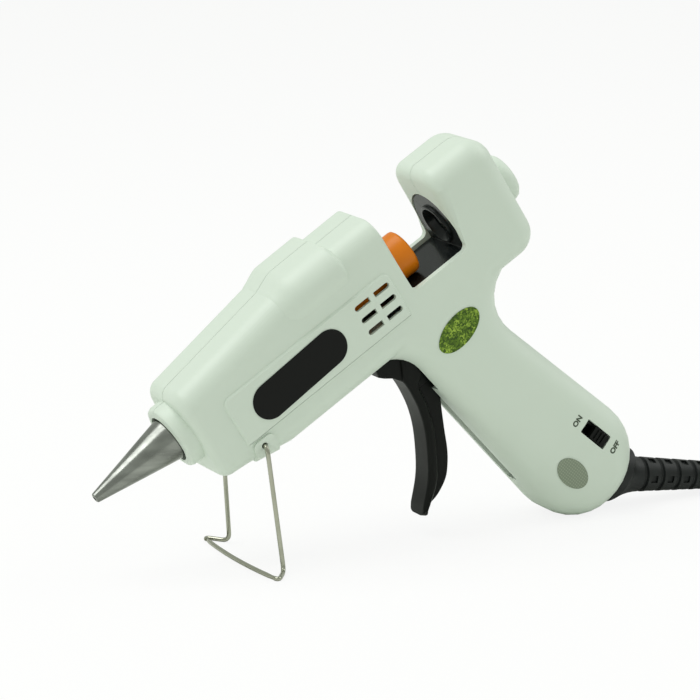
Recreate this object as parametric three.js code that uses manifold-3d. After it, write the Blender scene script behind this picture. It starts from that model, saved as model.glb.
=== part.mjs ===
// Mini hot glue applicator, in millimetres, +Z up.
// It stands on its wire stand and the foot of its handle, with the nozzle towards -X.
// The gun is drawn level, with its glue stick axis along X from the root of the nozzle
// (along), heights measured from that axis (above), and the left flank towards -Y.
// One group then tips it nose down.
import * as THREE from 'three';
import { mergeVertices } from 'three/addons/utils/BufferGeometryUtils.js';
import Module from 'manifold-3d';

const wasm = await Module();
wasm.setup();

// Whole gun
const noseDown = 32;
const halfWidth = 13;
const wall = 2;
const gap = 0.3;
const overrun = 4;
const flankEdge = 6.5;
const gripEdge = 10;
const arcSteps = 3;
const softShare = 0.3;
const roundSteps = 16;

// Barrel and head of the housing
const faceAlong = 4.6;
const faceTop = 13.2;
const faceBottom = 17;
const faceTopCorner = 3;
const faceBottomCorner = 4;
const shoulderAlong = 46;
const shoulderTop = 19.2;
const barrelTop = 19.6;
const barrelRear = 82.3;
const chinAlong = 13.8;
const chinDepth = 18;
const bellyAlong = 28;
const bellyDepth = 21;
const headFront = 103.4;
const headRear = 126;
const headFrontCorner = 3;
const headTopCorner = 7.5;
const headBottomCorner = 7.5;
const headSideCorner = 3.5;
const notchFloor = 6.2;
const archRadius = 11;
const sleeveWallFoot = 5.5;

// Saddle on top of the barrel
const saddleFront = 48.5;
const saddleRamp = 4.8;
const saddleRear = 67;
const saddleRise = 2;
const saddleFoot = 13.5;

// Nose collar and rear boss
const collarRadius = 10.3;
const collarEdge = 1.5;
const collarBore = 7.6;
const rearBossRadius = 8;
const rearBossLength = 4.5;
const rearBossEdge = 3;
const rearBossDrop = 1;
const stickHole = 4.2;

// Raised panel, stand ears and air vents on the flanks
const panelRise = 0.5;
const panelFront = 15.3;
const panelRear = 78;
const panelTop = 4.9;
const panelBottom = 11.5;
const panelCorner = 2.5;
const earFront = 16;
const earRear = 23.5;
const earTop = 12;
const earRise = 0.8;
const earCorner = 2;
const ventWidth = 1.2;
const ventPitch = 4.3;
const ventTop = 1.3;
const ventRows = 3;
const ventFront = 63.8;
const ventLength = 5.2;
const ventBridge = 2.2;

// Handle
const gripFront = 71.6;
const gripRear = 98.3;
const gripFrontFillet = 12;
const gripRearFillet = 14.5;
const heelAlong = 103.2;
const heelDepth = 89.2;
const heelRadius = 18.4;
const slotHalf = 3.4;
const slotEnd = 83;
const slotDepth = 7;
const throatFront = 60.5;
const throatRear = 88;
const throatHalf = 5.7;
const throatDepth = 40;

// Glue stick path
const stickBore = 3.9;
const sleeveRadius = 7;
const sleeveFront = 50.3;
const sleeveRear = 90.65;
const chamberRear = 50;
const chamberRadius = 6.6;
const chamberBore = 3.6;
const stubRadius = 4.9;
const stubLength = 8;
const clipAlong = 54;
const clipLength = 1.6;
const clipThickness = 1;

// Nozzle and its washer
const tipAlong = 27.6;
const tipRadius = 1.55;
const rootRadius = 6.7;
const tipBore = 0.75;
const meltBore = 1.75;
const neckRadius = 3.2;
const neckEnd = 9;
const washerThickness = 1.4;
const washerFace = 1;

// Heater under the melt chamber
const heaterLength = 24;
const heaterWidth = 10;
const heaterThickness = 2.2;
const electrodeThickness = 0.4;
const filmThickness = 0.3;
const pocketWall = 1.4;
const tabHalf = 1.5;
const tabLength = 3.5;

// Trigger
const pivotAlong = 80;
const pivotDepth = 33;
const pivotRadius = 1.5;
const hubRadius = 4.2;
const hubHalf = 4.4;
const pinLength = 21.4;
const triggerReach = 28.4;
const triggerDrop = 39.5;
const triggerSwing = 22;
const padHalf = 4.9;
const webHalf = 3;
const triggerEdge = 0.6;
const forkHalf = 2.8;
const forkWidth = 7;
const forkTop = 23.4;
const forkThroat = 19.2;

// Feeder carriage and clamp lever
const driveDepth = 11.5;
const drivePinRadius = 1.2;
const trayFront = 70;
const trayHalf = 10.6;
const trayTop = 7.3;
const trayThickness = 1.6;
const plateRadius = 10.6;
const plateThickness = 2.2;
const plateHole = 4.3;
const plateRim = 1.2;
const rimRise = 0.7;
const cheekInner = 4.4;
const cheekThickness = 1.6;
const cheekLength = 9;
const cheekDepth = 14;
const clampAlong = 109.6;
const clampPinRadius = 0.9;
const clampThickness = 1.4;
const clampRadius = 6.4;
const railThickness = 1.6;
const railHalf = 7.8;
const lugInner = 2.6;
const lugThickness = 1.6;
const lugRadius = 2.2;

// Wire stand
const wireRadius = 0.675;
const standAlong = 19.4;
const standDepth = 14.2;
const legTop = 14.9;
const legFoot = 17.9;
const footHalf = 24.8;
const legSwing = 3.7;
const footForward = 5.1;
const footBulge = 3;
const standPinEnd = 10.6;
const standBend = 2;
const wireSteps = 100;
const wireSides = 6;

// Cradles, rails and bosses inside the shells
const cradleAlong = [12, 44];
const cradleThickness = 2;
const cradleFoot = 3;
const cradleHeight = 12;
const railRear = 112;
const pinBossRadius = 3.4;
const pinBossInner = 5;
const springRoom = 2.6;

// Return spring
const springWire = 0.3;
const springPitch = 1.1;
const springCoils = 2;
const springSteps = 8;
const springSides = 5;

// Cord clamp in the heel
const clampBarAt = 12;
const clampBarWidth = 5;
const clampBarHalf = 7.4;
const clampBarThickness = 2;
const clampScrewSide = 5;
const clampScrewRadius = 1;
const clampScrewHead = 1.9;
const clampPostRadius = 1.9;

// Screws
const screwRadius = 1.2;
const screwHeadRadius = 2.5;
const screwHeadHeight = 1.8;
const screwLength = 11;
const screwSeat = 4;
const screwBossRadius = 3;
const screwBossWall = 1.4;
const noseScrewAlong = 9.8;
const noseScrewDepth = 12;
const bellyScrewAlong = 52;
const bellyScrewDepth = 14.5;
const crownScrewAlong = 116.5;
const crownScrewHeight = 13;
const neckScrewAlong = 99;
const neckScrewDepth = 28;
const gripScrewAlong = 92.5;
const gripScrewDepth = 80;

// Switch
const switchAlong = 109.1;
const switchDepth = 82.5;
const switchTurn = 71.4;
const switchWindowLength = 10.3;
const switchWindowWidth = 4.7;
const sliderLength = 6.2;
const sliderWidth = 4;
const sliderStemWidth = 2.4;
const switchBodyLength = 14;
const switchBodyWidth = 8;
const switchBodyDepth = 6;

// Label and stickers
const labelLength = 34.5;
const labelWidth = 11.2;
const labelAlong = 39.6;
const labelDepth = 3.5;
const labelTurn = 2.5;
const foilLength = 16.5;
const foilWidth = 9.3;
const foilAlong = 88.2;
const foilDepth = 25.3;
const foilTurn = 12;
const sealLength = 12.5;
const sealWidth = 8;
const sealAlong = 96.3;
const sealDepth = 87.7;
const stickerGap = 0.05;
const stickerThickness = 0.25;

// Strain relief and mains lead
const reliefSeat = -60.9;
const reliefSink = 1.34;
const reliefTurn = -39.9;
const reliefLength = 38;
const reliefFlare = 8;
const reliefRadius = 5.45;
const reliefEnd = 4.3;
const reliefPlug = 5;
const reliefPlugRadius = 5.2;
const flangeRear = -7.8;
const flangeFront = -5.8;
const ribPitch = 5;
const ribGroove = 0.7;
const ribGrooveShare = 0.2;
const cordRadius = 2.75;
const leadRadius = 0.9;
const bladeLength = 16;
const bladeWidth = 6.3;
const bladeThickness = 1.6;
const bladeSpacing = 12.7;
const plugLength = 32;
const plugWidth = 24;
const plugThickness = 14;

// Coiled lead, measured from the end of the strain relief
const coilLoops = 6;
const coilPitch = 6.1;
const coilOuter = 37;
const coilAhead = 56.1;
const coilAside = -15;
const tieWidth = 4;
const tieThickness = 0.8;
const loopSteps = 24;
const loopSides = 6;
const routeSides = 8;
const leadSteps = 26;
const tailSteps = 30;
const easeTurns = 0.25;
const leadRoute = [
  [0.3, 0, 0], [4, 0, -0.55], [8, 0, -1.05], [12, 0.3, -1.5], [16, 1.2, -1.85], [20, 2.8, -2.05],
  [24, 5.3, -2.15], [27, 8.2, -2.18], [29.2, 11, -2.1], [31.4, 13.8, -1.95], [34.4, 16.7, -1.7],
  [38.4, 19.2, -1.45], [42.4, 20.8, -1.25], [46.4, 21.7, -1.12], [50.3, 22, -1.08],
];
const tailRoute = [
  [62, 22, 5.02], [64, 22, 5.1], [67, 22, 5.7], [70.5, 21.9, 7.1], [75, 20.8, 8.9], [80, 18.3, 10.1],
  [85, 14.3, 10.7],
  [89, 9.2, 10.75], [91.8, 3, 10.75], [92.4, -3, 10.75], [90.8, -9, 10.9], [87.2, -14.3, 11.4],
  [82, -18.4, 12.5], [77, -20.8, 13.8], [72.6, -21.8, 14.7], [68.6, -22, 15],
];

const tilt = THREE.MathUtils.degToRad(noseDown);
const inner = halfWidth - wall;

// A closed geometry as a solid, its shared points merged
function solid(geometry) {
  let closed = geometry;
  if (geometry.attributes.normal) {
    closed = new THREE.BufferGeometry();
    closed.setAttribute('position', geometry.attributes.position);
    closed.setIndex(geometry.index);
    closed = mergeVertices(closed);
  }
  const corners = closed.index.array;
  const faces = [];
  for (let i = 0; i < corners.length; i += 3) {
    const [a, b, c] = corners.slice(i, i + 3);
    if (a !== b && b !== c && c !== a) faces.push(a, b, c);
  }
  const vertProperties = new Float32Array(closed.attributes.position.array);
  return new wasm.Manifold(new wasm.Mesh({ numProp: 3, vertProperties, triVerts: new Uint32Array(faces) }));
}

function geometryOf(body) {
  const mesh = body.getMesh();
  const geometry = new THREE.BufferGeometry();
  geometry.setAttribute('position', new THREE.BufferAttribute(mesh.vertProperties, 3));
  geometry.setIndex(new THREE.BufferAttribute(mesh.triVerts, 1));
  return geometry;
}

function join(first, ...others) {
  return geometryOf(others.reduce((sum, shape) => sum.add(solid(shape)), solid(first)));
}

function cut(base, ...tools) {
  return geometryOf(tools.reduce((rest, tool) => rest.subtract(solid(tool)), solid(base)));
}

function common(first, second) {
  return geometryOf(solid(first).intersect(solid(second)));
}

// Block between two corners
function block(x0, x1, y0, y1, z0, z1) {
  const geometry = new THREE.BoxGeometry(x1 - x0, y1 - y0, z1 - z0);
  return geometry.translate((x0 + x1) / 2, (y0 + y1) / 2, (z0 + z1) / 2);
}

// Two blocks, one on each flank, between two distances from the parting plane
function blockPair(x0, x1, y0, y1, z0, z1) {
  return join(block(x0, x1, y0, y1, z0, z1), block(x0, x1, -y1, -y0, z0, z1));
}

// Pin across the gun
function pin(x, z, y0, y1, radius) {
  const geometry = new THREE.CylinderGeometry(radius, radius, y1 - y0, roundSteps);
  return geometry.translate(x, (y0 + y1) / 2, z);
}

// Turned shape along X from [along, radius] pairs
function turned(profile, steps = roundSteps) {
  const points = profile.map(([along, radius]) => new THREE.Vector2(radius, along));
  return new THREE.LatheGeometry(points, steps).rotateZ(-Math.PI / 2);
}

function turnedRing(x0, x1, bore, radius) {
  return turned([[x0, bore], [x0, radius], [x1, radius], [x1, bore], [x0, bore]]);
}

function turnedRod(x0, x1, radius) {
  return turned([[x0, 0], [x0, radius], [x1, radius], [x1, 0]]);
}

// Outline through [x, z, radius] corners, each rounded by its radius
function outline(corners, steps = arcSteps) {
  const points = [];
  corners.forEach(([x, z, radius = 0], i) => {
    const corner = new THREE.Vector2(x, z);
    if (radius === 0) {
      points.push(corner);
      return;
    }
    const before = corners[(i + corners.length - 1) % corners.length];
    const after = corners[(i + 1) % corners.length];
    const back = new THREE.Vector2(before[0], before[1]).sub(corner).normalize();
    const ahead = new THREE.Vector2(after[0], after[1]).sub(corner).normalize();
    const half = Math.acos(back.dot(ahead)) / 2;
    const reach = radius / Math.tan(half);
    const centre = back.clone().add(ahead).setLength(radius / Math.sin(half)).add(corner);
    const start = back.clone().multiplyScalar(reach).add(corner).sub(centre);
    const end = ahead.clone().multiplyScalar(reach).add(corner).sub(centre);
    const from = start.angle();
    const sweep = Math.atan2(start.cross(end), start.dot(end));
    for (let k = 0; k <= steps; k += 1) {
      const angle = from + (sweep * k) / steps;
      const spoke = new THREE.Vector2(Math.cos(angle), Math.sin(angle));
      points.push(spoke.multiplyScalar(radius).add(centre));
    }
  });
  return new THREE.Shape(points);
}

// Rectangle with rounded corners, centred and turned by degrees
function roundedBox(x, z, length, width, radius, degrees = 0) {
  const turn = THREE.MathUtils.degToRad(degrees);
  const shares = [[-0.5, -0.5], [0.5, -0.5], [0.5, 0.5], [-0.5, 0.5]];
  const corners = shares.map(([u, v]) => [
    x + u * length * Math.cos(turn) - v * width * Math.sin(turn),
    z + u * length * Math.sin(turn) + v * width * Math.cos(turn),
    radius,
  ]);
  return outline(corners);
}

function ellipse(x, z, length, width, degrees) {
  const shape = new THREE.Shape();
  const turn = THREE.MathUtils.degToRad(degrees);
  shape.absellipse(x, z, length / 2, width / 2, 0, 2 * Math.PI, false, turn);
  return shape;
}

// Side view outline carried across the gun
function prism(shape, y0, y1) {
  const geometry = new THREE.ExtrudeGeometry(shape, { depth: y1 - y0, bevelEnabled: false });
  return geometry.rotateX(Math.PI / 2).translate(0, y1, 0);
}

// The same with softened rims
function softPrism(shape, half, edge) {
  const options = { depth: 2 * (half - edge), bevelThickness: edge, bevelSize: edge, bevelOffset: -edge };
  const geometry = new THREE.ExtrudeGeometry(shape, { ...options, bevelSegments: 2 });
  return geometry.rotateX(Math.PI / 2).translate(0, half - edge, 0);
}

// Housing shape as wide as the gun, its rims rounded, grown or shrunk all round
function slab(shape, edge, grow) {
  const options = { depth: 2 * (halfWidth - edge), bevelThickness: edge + grow, bevelSize: edge + grow };
  const rim = { bevelOffset: -edge, bevelSegments: arcSteps };
  const geometry = new THREE.ExtrudeGeometry(shape, { ...options, ...rim });
  return geometry.rotateX(Math.PI / 2).translate(0, halfWidth - edge, 0);
}

// Outline seen along the gun, from [y, z] points, carried along X
function bulkhead(shape, x0, x1) {
  const geometry = new THREE.ExtrudeGeometry(shape, { depth: x1 - x0, bevelEnabled: false });
  const swap = new THREE.Matrix4().set(0, 0, 1, x0, 1, 0, 0, 0, 0, 1, 0, 0, 0, 0, 0, 1);
  return geometry.applyMatrix4(swap);
}

// Round tube through points
function tube(points, radius, steps, sides) {
  const ring = [];
  for (let k = 0; k < sides; k += 1) {
    const angle = (2 * Math.PI * k) / sides;
    ring.push(new THREE.Vector2(radius * Math.cos(angle), radius * Math.sin(angle)));
  }
  const path = new THREE.CatmullRomCurve3(points.map(([x, y, z]) => new THREE.Vector3(x, y, z)));
  return new THREE.ExtrudeGeometry(new THREE.Shape(ring), { steps, extrudePath: path, bevelEnabled: false });
}

// Barrel and head in side view
function bodyShape(faceRound, chinRound, crownRound, napeRound) {
  return outline([
    [faceAlong, faceTop, faceRound],
    [shoulderAlong, shoulderTop],
    [barrelRear, barrelTop],
    [headRear, barrelTop, crownRound],
    [headRear, -bellyDepth, napeRound],
    [bellyAlong, -bellyDepth],
    [chinAlong, -chinDepth],
    [faceAlong, -faceBottom, chinRound],
  ]);
}

// Where the line from a corner of the grip touches the heel circle
const heel = new THREE.Vector2(heelAlong, -heelDepth);
function heelTouch(x, side) {
  const corner = new THREE.Vector2(x, -bellyDepth);
  const reach = heel.clone().sub(corner);
  const angle = reach.angle() + side * Math.asin(heelRadius / reach.length());
  const length = Math.sqrt(reach.lengthSq() - heelRadius ** 2);
  return new THREE.Vector2(Math.cos(angle), Math.sin(angle)).multiplyScalar(length).add(corner);
}
const frontTouch = heelTouch(gripFront, -1);
const rearTouch = heelTouch(gripRear, 1);

// Front line of the grip at a depth below the axis
function gripFrontAt(depth) {
  const share = (depth - bellyDepth) / (-frontTouch.y - bellyDepth);
  return gripFront + share * (frontTouch.x - gripFront);
}

// How far a fillet between belly and grip line reaches along the belly
function filletReach(x, touch, side, radius) {
  const line = touch.clone().sub(new THREE.Vector2(x, -bellyDepth)).normalize();
  return radius / Math.tan(Math.acos(side * line.x) / 2);
}

function gripShape() {
  const front = gripFront - filletReach(gripFront, frontTouch, -1, gripFrontFillet) - gap;
  const rear = gripRear + filletReach(gripRear, rearTouch, 1, gripRearFillet) + gap;
  const corners = [
    [front, -bellyDepth + 2 * gripEdge],
    [front, -bellyDepth],
    [gripFront, -bellyDepth, gripFrontFillet],
  ];
  const from = frontTouch.clone().sub(heel);
  const to = rearTouch.clone().sub(heel);
  const sweep = 2 * Math.PI + Math.atan2(from.cross(to), from.dot(to));
  const heelSteps = 4 * arcSteps;
  for (let k = 0; k <= heelSteps; k += 1) {
    const turn = (sweep * k) / heelSteps;
    const point = from.clone().rotateAround(new THREE.Vector2(), turn).add(heel);
    corners.push([point.x, point.y]);
  }
  corners.push([gripRear, -bellyDepth, gripRearFillet]);
  corners.push([rear, -bellyDepth]);
  corners.push([rear, -bellyDepth + 2 * gripEdge]);
  return outline(corners);
}

const sharpBody = bodyShape(0, 0, 0, 0);
const roundBody = bodyShape(faceTopCorner, faceBottomCorner, headTopCorner, headBottomCorner);
const grip = gripShape();

// Saddle over the barrel, ramped in front and square behind
function saddle() {
  const top = barrelTop + saddleRise;
  const edge = flankEdge + saddleRise;
  const band = outline([
    [saddleFront - edge, top],
    [saddleRear + edge, top],
    [saddleRear + edge, -saddleFoot],
    [saddleFront - edge, -saddleFoot],
  ]);
  const side = outline([
    [saddleFront, saddleFoot],
    [saddleFront, barrelTop - gap],
    [saddleFront + saddleRamp, top],
    [saddleRear, top + gap],
    [saddleRear, saddleFoot],
  ]);
  return common(slab(band, edge, 0), prism(side, -halfWidth, halfWidth));
}

function collar() {
  const back = faceAlong + wall;
  const edge = collarEdge;
  const radius = collarRadius;
  return turned([
    [0, collarBore], [0, radius - edge], [softShare * edge, radius - softShare * edge],
    [edge, radius], [back, radius], [back, collarBore], [0, collarBore],
  ]);
}

function rearBoss() {
  const end = headRear + rearBossLength;
  const edge = rearBossEdge;
  const profile = [
    [headRear - wall, 0], [headRear - wall, rearBossRadius], [end - edge, rearBossRadius],
    [end - softShare * edge, rearBossRadius - softShare * edge], [end, rearBossRadius - edge], [end, 0],
  ];
  return turned(profile).translate(0, 0, -rearBossDrop);
}

// Space over the feeder between barrel and head
function notch() {
  const sky = barrelTop + overrun;
  const side = outline([
    [barrelRear, sky],
    [barrelRear, -notchFloor],
    [headFront, -notchFloor],
    [headFront, barrelTop, headFrontCorner],
    [headFront + sky, barrelTop],
    [headFront + sky, sky],
  ]);
  const shapes = [prism(side, -halfWidth - overrun, halfWidth + overrun)];
  const cheek = outline([
    [headFront - wall, halfWidth - headSideCorner],
    [headFront, halfWidth - headSideCorner],
    [headFront, halfWidth, headSideCorner],
    [headFront + headSideCorner + wall, halfWidth],
    [headFront + headSideCorner + wall, halfWidth + overrun],
    [headFront - wall, halfWidth + overrun],
  ]);
  for (const flank of [1, -1]) {
    const rim = new THREE.ExtrudeGeometry(cheek, { depth: sky + notchFloor, bevelEnabled: false });
    rim.translate(0, 0, -notchFloor);
    if (flank < 0) rim.rotateX(Math.PI).translate(0, 0, sky - notchFloor);
    shapes.push(rim);
  }
  return join(...shapes);
}

const panelShape = outline([
  [panelFront, panelTop, panelCorner],
  [panelRear, panelTop, panelCorner],
  [panelRear, -panelBottom, panelRise],
  [panelFront, -panelBottom, panelRise],
]);

function raised(shape, rise) {
  const reach = halfWidth + overrun;
  return common(slab(sharpBody, flankEdge, rise), prism(shape, -reach, reach));
}

const earShape = outline([
  [earFront, -earTop, earCorner],
  [earRear, -earTop, earCorner],
  [earRear, -bellyDepth - overrun],
  [earFront, -bellyDepth - overrun],
]);

const skin = join(
  common(slab(sharpBody, flankEdge, 0), prism(roundBody, -halfWidth, halfWidth)),
  saddle(),
  collar(),
  rearBoss(),
  raised(panelShape, panelRise),
  raised(earShape, earRise),
  slab(grip, gripEdge, 0),
);

// Hollow of the housing, with the walls left beside the notch
function hollow() {
  const rear = block(barrelRear - wall, barrelRear, -halfWidth, halfWidth, -sleeveWallFoot, barrelTop);
  const front = block(headFront, headFront + wall, -halfWidth, halfWidth, -notchFloor, barrelTop);
  const whole = join(slab(sharpBody, flankEdge, -wall), slab(grip, gripEdge, -wall));
  return cut(whole, rear, front);
}

// Opening that the trigger works in, and the slot below it for its web
function triggerOpenings() {
  const roof = -bellyDepth + 2 * wall;
  const mouth = outline([
    [throatFront, roof],
    [throatFront, -throatDepth],
    [gripFrontAt(throatDepth) + slotDepth, -throatDepth],
    [throatRear, roof],
  ]);
  const slit = outline([
    [gripFrontAt(pivotDepth) - overrun, -pivotDepth],
    [gripFrontAt(slotEnd) - overrun, -slotEnd],
    [gripFrontAt(slotEnd) + 2 * wall, -slotEnd],
    [gripFrontAt(pivotDepth) + 2 * wall, -pivotDepth],
  ]);
  return join(prism(mouth, -throatHalf, throatHalf), prism(slit, -slotHalf, slotHalf));
}

function backPlateArch(radius, depth) {
  const shape = new THREE.Shape();
  shape.moveTo(-radius, -depth);
  shape.lineTo(radius, -depth);
  shape.lineTo(radius, 0);
  shape.absarc(0, 0, radius, 0, Math.PI, false);
  shape.lineTo(-radius, -depth);
  return shape;
}

const trayBottom = trayTop + trayThickness;
const railTop = trayBottom + gap;

// Screws that hold the shells together
const screws = [
  [noseScrewAlong, -noseScrewDepth],
  [bellyScrewAlong, -bellyScrewDepth],
  [crownScrewAlong, crownScrewHeight],
  [neckScrewAlong, -neckScrewDepth],
  [gripScrewAlong, -gripScrewDepth],
];
const screwHole = screwRadius + gap;
const counterbore = screwHeadRadius + gap;
const screwTip = screwSeat - screwLength;

// Strain relief frame: distance outward from its root along its axis
const reliefAngle = THREE.MathUtils.degToRad(reliefTurn);
const seatAngle = THREE.MathUtils.degToRad(reliefSeat);
const reliefAlong = heelAlong + (heelRadius - reliefSink) * Math.cos(seatAngle);
const reliefDepth = heelDepth - (heelRadius - reliefSink) * Math.sin(seatAngle);
function alongRelief(distance, side = 0) {
  const x = reliefAlong + distance * Math.cos(reliefAngle) - side * Math.sin(reliefAngle);
  const z = -reliefDepth + distance * Math.sin(reliefAngle) + side * Math.cos(reliefAngle);
  return [x, z];
}
function toRelief(geometry) {
  return geometry.rotateY(-reliefAngle).translate(reliefAlong, 0, -reliefDepth);
}

// Cord clamp inside the heel
const cordSeat = cordRadius + gap;
const clampPosts = [-1, 1].map((side) => alongRelief(-clampBarAt, side * clampScrewSide));

// Cradles, rails, bosses and posts inside the shells
const cavityReach = inner + wall / 2;

function linings() {
  const shapes = [];
  const reach = cavityReach;
  const low = -railTop - railThickness;
  for (const start of cradleAlong) {
    shapes.push(block(start, start + cradleThickness, -reach, reach, -cradleFoot, cradleHeight));
  }
  shapes.push(blockPair(trayFront - cheekLength, railRear, railHalf, reach, low, -railTop));
  for (const [x, z] of screws) {
    shapes.push(pin(x, z, -reach, 0, screwBossRadius));
    shapes.push(pin(x, z, 0, reach, counterbore + screwBossWall));
  }
  shapes.push(pin(pivotAlong, -pivotDepth, -reach, -pinBossInner, pinBossRadius));
  shapes.push(pin(pivotAlong, -pivotDepth, pinBossInner + springRoom, reach, pinBossRadius));
  for (const [x, z] of clampPosts) shapes.push(pin(x, z, -reach, -gap, clampPostRadius));
  return common(join(...shapes), slabUnion());
}

// Full outer form without its openings, to trim what stands inside
function slabUnion() {
  return join(slab(sharpBody, flankEdge, -wall / 2), slab(grip, gripEdge, -wall / 2));
}

// Everything bored or cut after the linings are in
const switchAngle = -switchTurn;
function bores() {
  const reach = halfWidth + overrun;
  const shapes = [
    turnedRod(-overrun, chamberRear + overrun, chamberRadius + gap),
    turnedRod(-overrun, faceAlong + wall + overrun, collarBore),
    turnedRod(sleeveFront - overrun, barrelRear + overrun, sleeveRadius + gap),
    turnedRod(headRear - wall - overrun, headRear + rearBossLength + overrun, stickHole),
    bulkhead(backPlateArch(archRadius, notchFloor), headFront - overrun, headFront + wall + gap),
    pin(standAlong, -standDepth, -reach, reach, wireRadius + gap),
  ];
  const pinEnd = pinLength / 2 + gap;
  shapes.push(pin(pivotAlong, -pivotDepth, -pinEnd, pinEnd, pivotRadius + gap));
  for (const [x, z] of screws) {
    shapes.push(pin(x, z, screwTip - gap, screwSeat + gap, screwHole));
    shapes.push(pin(x, z, screwSeat, reach, counterbore));
  }
  for (const [x, z] of clampPosts) {
    shapes.push(pin(x, z, screwTip - gap, reach / 2, clampScrewRadius + gap));
  }
  for (let row = 0; row < ventRows; row += 1) {
    const above = ventTop - row * ventPitch;
    const half = ventWidth / 2;
    const rearStart = ventFront + ventLength + ventBridge;
    for (const start of [ventFront, rearStart]) {
      shapes.push(block(start, start + ventLength, -reach, -sleeveRadius - wall, above - half, above + half));
      shapes.push(block(start, start + ventLength, sleeveRadius + wall, reach, above - half, above + half));
    }
  }
  const length = switchWindowLength;
  const opening = roundedBox(switchAlong, -switchDepth, length, switchWindowWidth, gap, switchAngle);
  shapes.push(prism(opening, -reach, -inner + wall));
  const roomLength = switchBodyLength + 2 * gap;
  const roomWidth = switchBodyWidth + 2 * gap;
  const room = roundedBox(switchAlong, -switchDepth, roomLength, roomWidth, gap, switchAngle);
  shapes.push(prism(room, -inner, -inner + 2 * gap + switchBodyDepth));
  const seat = turnedRod(-reliefPlug - overrun, reliefPlug, reliefPlugRadius + gap);
  shapes.push(toRelief(seat));
  return shapes;
}

function housing() {
  const walls = cut(skin, hollow(), notch(), triggerOpenings());
  return cut(join(walls, linings()), ...bores());
}

const materials = {
  housing: new THREE.MeshStandardMaterial({ color: 0xe2ebdc, roughness: 0.45 }),
  orange: new THREE.MeshStandardMaterial({ color: 0xdc7414, roughness: 0.4 }),
  black: new THREE.MeshStandardMaterial({ color: 0x151815, roughness: 0.4 }),
  dark: new THREE.MeshStandardMaterial({ color: 0x3e4444, roughness: 0.4 }),
  relief: new THREE.MeshStandardMaterial({ color: 0x202424, roughness: 0.55 }),
  nozzle: new THREE.MeshStandardMaterial({ color: 0x9a9c98, roughness: 0.3, metalness: 1 }),
  steel: new THREE.MeshStandardMaterial({ color: 0xb8bab2, roughness: 0.3, metalness: 1 }),
  brass: new THREE.MeshStandardMaterial({ color: 0xc9a24b, roughness: 0.35, metalness: 1 }),
  aluminium: new THREE.MeshStandardMaterial({ color: 0xb9bcbe, roughness: 0.4, metalness: 1 }),
  ceramic: new THREE.MeshStandardMaterial({ color: 0xd9d2bd, roughness: 0.7 }),
  film: new THREE.MeshStandardMaterial({ color: 0xb8862a, roughness: 0.4 }),
  washer: new THREE.MeshStandardMaterial({ color: 0x242623, roughness: 0.6 }),
  label: new THREE.MeshStandardMaterial({ color: 0x141414, roughness: 0.35 }),
  foil: new THREE.MeshStandardMaterial({ color: 0x6f8f2a, roughness: 0.3, metalness: 0.4 }),
  seal: new THREE.MeshStandardMaterial({ color: 0x8a9282, roughness: 0.5 }),
  cord: new THREE.MeshStandardMaterial({ color: 0x1c1e1e, roughness: 0.5 }),
};

const whole = new THREE.Group();
const gun = new THREE.Group();
gun.rotation.y = -tilt;
whole.add(gun);

function place(name, geometry, material, parent = gun) {
  const mesh = new THREE.Mesh(geometry, material);
  mesh.name = name;
  parent.add(mesh);
  return mesh;
}

// Shells
const shell = housing();
const far = heelDepth + heelRadius + overrun;
const leftSide = block(-far, 2 * far, -far, -gap / 2, -2 * far, far);
const rightSide = block(-far, 2 * far, gap / 2, far, -2 * far, far);
place('left_shell', common(shell, leftSide), materials.housing);
place('right_shell', common(shell, rightSide), materials.housing);

for (const [i, [x, z]] of screws.entries()) {
  const head = pin(x, z, screwSeat + gap, screwSeat + gap + screwHeadHeight, screwHeadRadius);
  const screw = join(head, pin(x, z, screwTip, screwSeat + screwHeadHeight, screwRadius));
  place(`shell_screw_${i + 1}`, screw, materials.steel);
}

// Nozzle, its washer and the melt chamber behind it
place('nozzle', turned([
  [-tipAlong, tipBore], [-tipAlong, tipRadius], [0, rootRadius], [washerFace - gap, rootRadius],
  [washerFace - gap, neckRadius], [neckEnd, neckRadius], [neckEnd, meltBore], [-tipAlong / 2, meltBore],
  [-tipAlong, tipBore],
]), materials.nozzle);
const washerRear = washerFace + washerThickness;
const washerRing = turnedRing(washerFace, washerRear, neckRadius + gap, collarBore - gap);
place('nozzle_washer', washerRing, materials.washer);

const slotTop = -(chamberRadius + pocketWall);
const stackHeight = heaterThickness + 2 * electrodeThickness + filmThickness + 5 * gap;
const pocketFront = cradleAlong[0] + cradleThickness + gap;
const slotFront = pocketFront + pocketWall;
const heaterFront = slotFront + gap;
const heaterRear = heaterFront + heaterLength;
const slotWide = heaterWidth / 2 + gap;
function meltChamber() {
  const chamberStart = washerRear + gap;
  const body = turned([
    [chamberStart, chamberBore], [chamberStart, chamberRadius], [chamberRear, chamberRadius],
    [chamberRear, stubRadius], [chamberRear + stubLength, stubRadius],
    [chamberRear + stubLength, chamberBore], [chamberStart, chamberBore],
  ]);
  const wide = slotWide + pocketWall;
  const floor = slotTop - stackHeight;
  const pocket = block(pocketFront, heaterRear, -wide, wide, floor - pocketWall, -chamberBore - gap);
  const room = block(slotFront, heaterRear + overrun, -slotWide, slotWide, floor, slotTop);
  return cut(join(body, pocket), room);
}
place('melt_chamber', meltChamber(), materials.aluminium);

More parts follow.
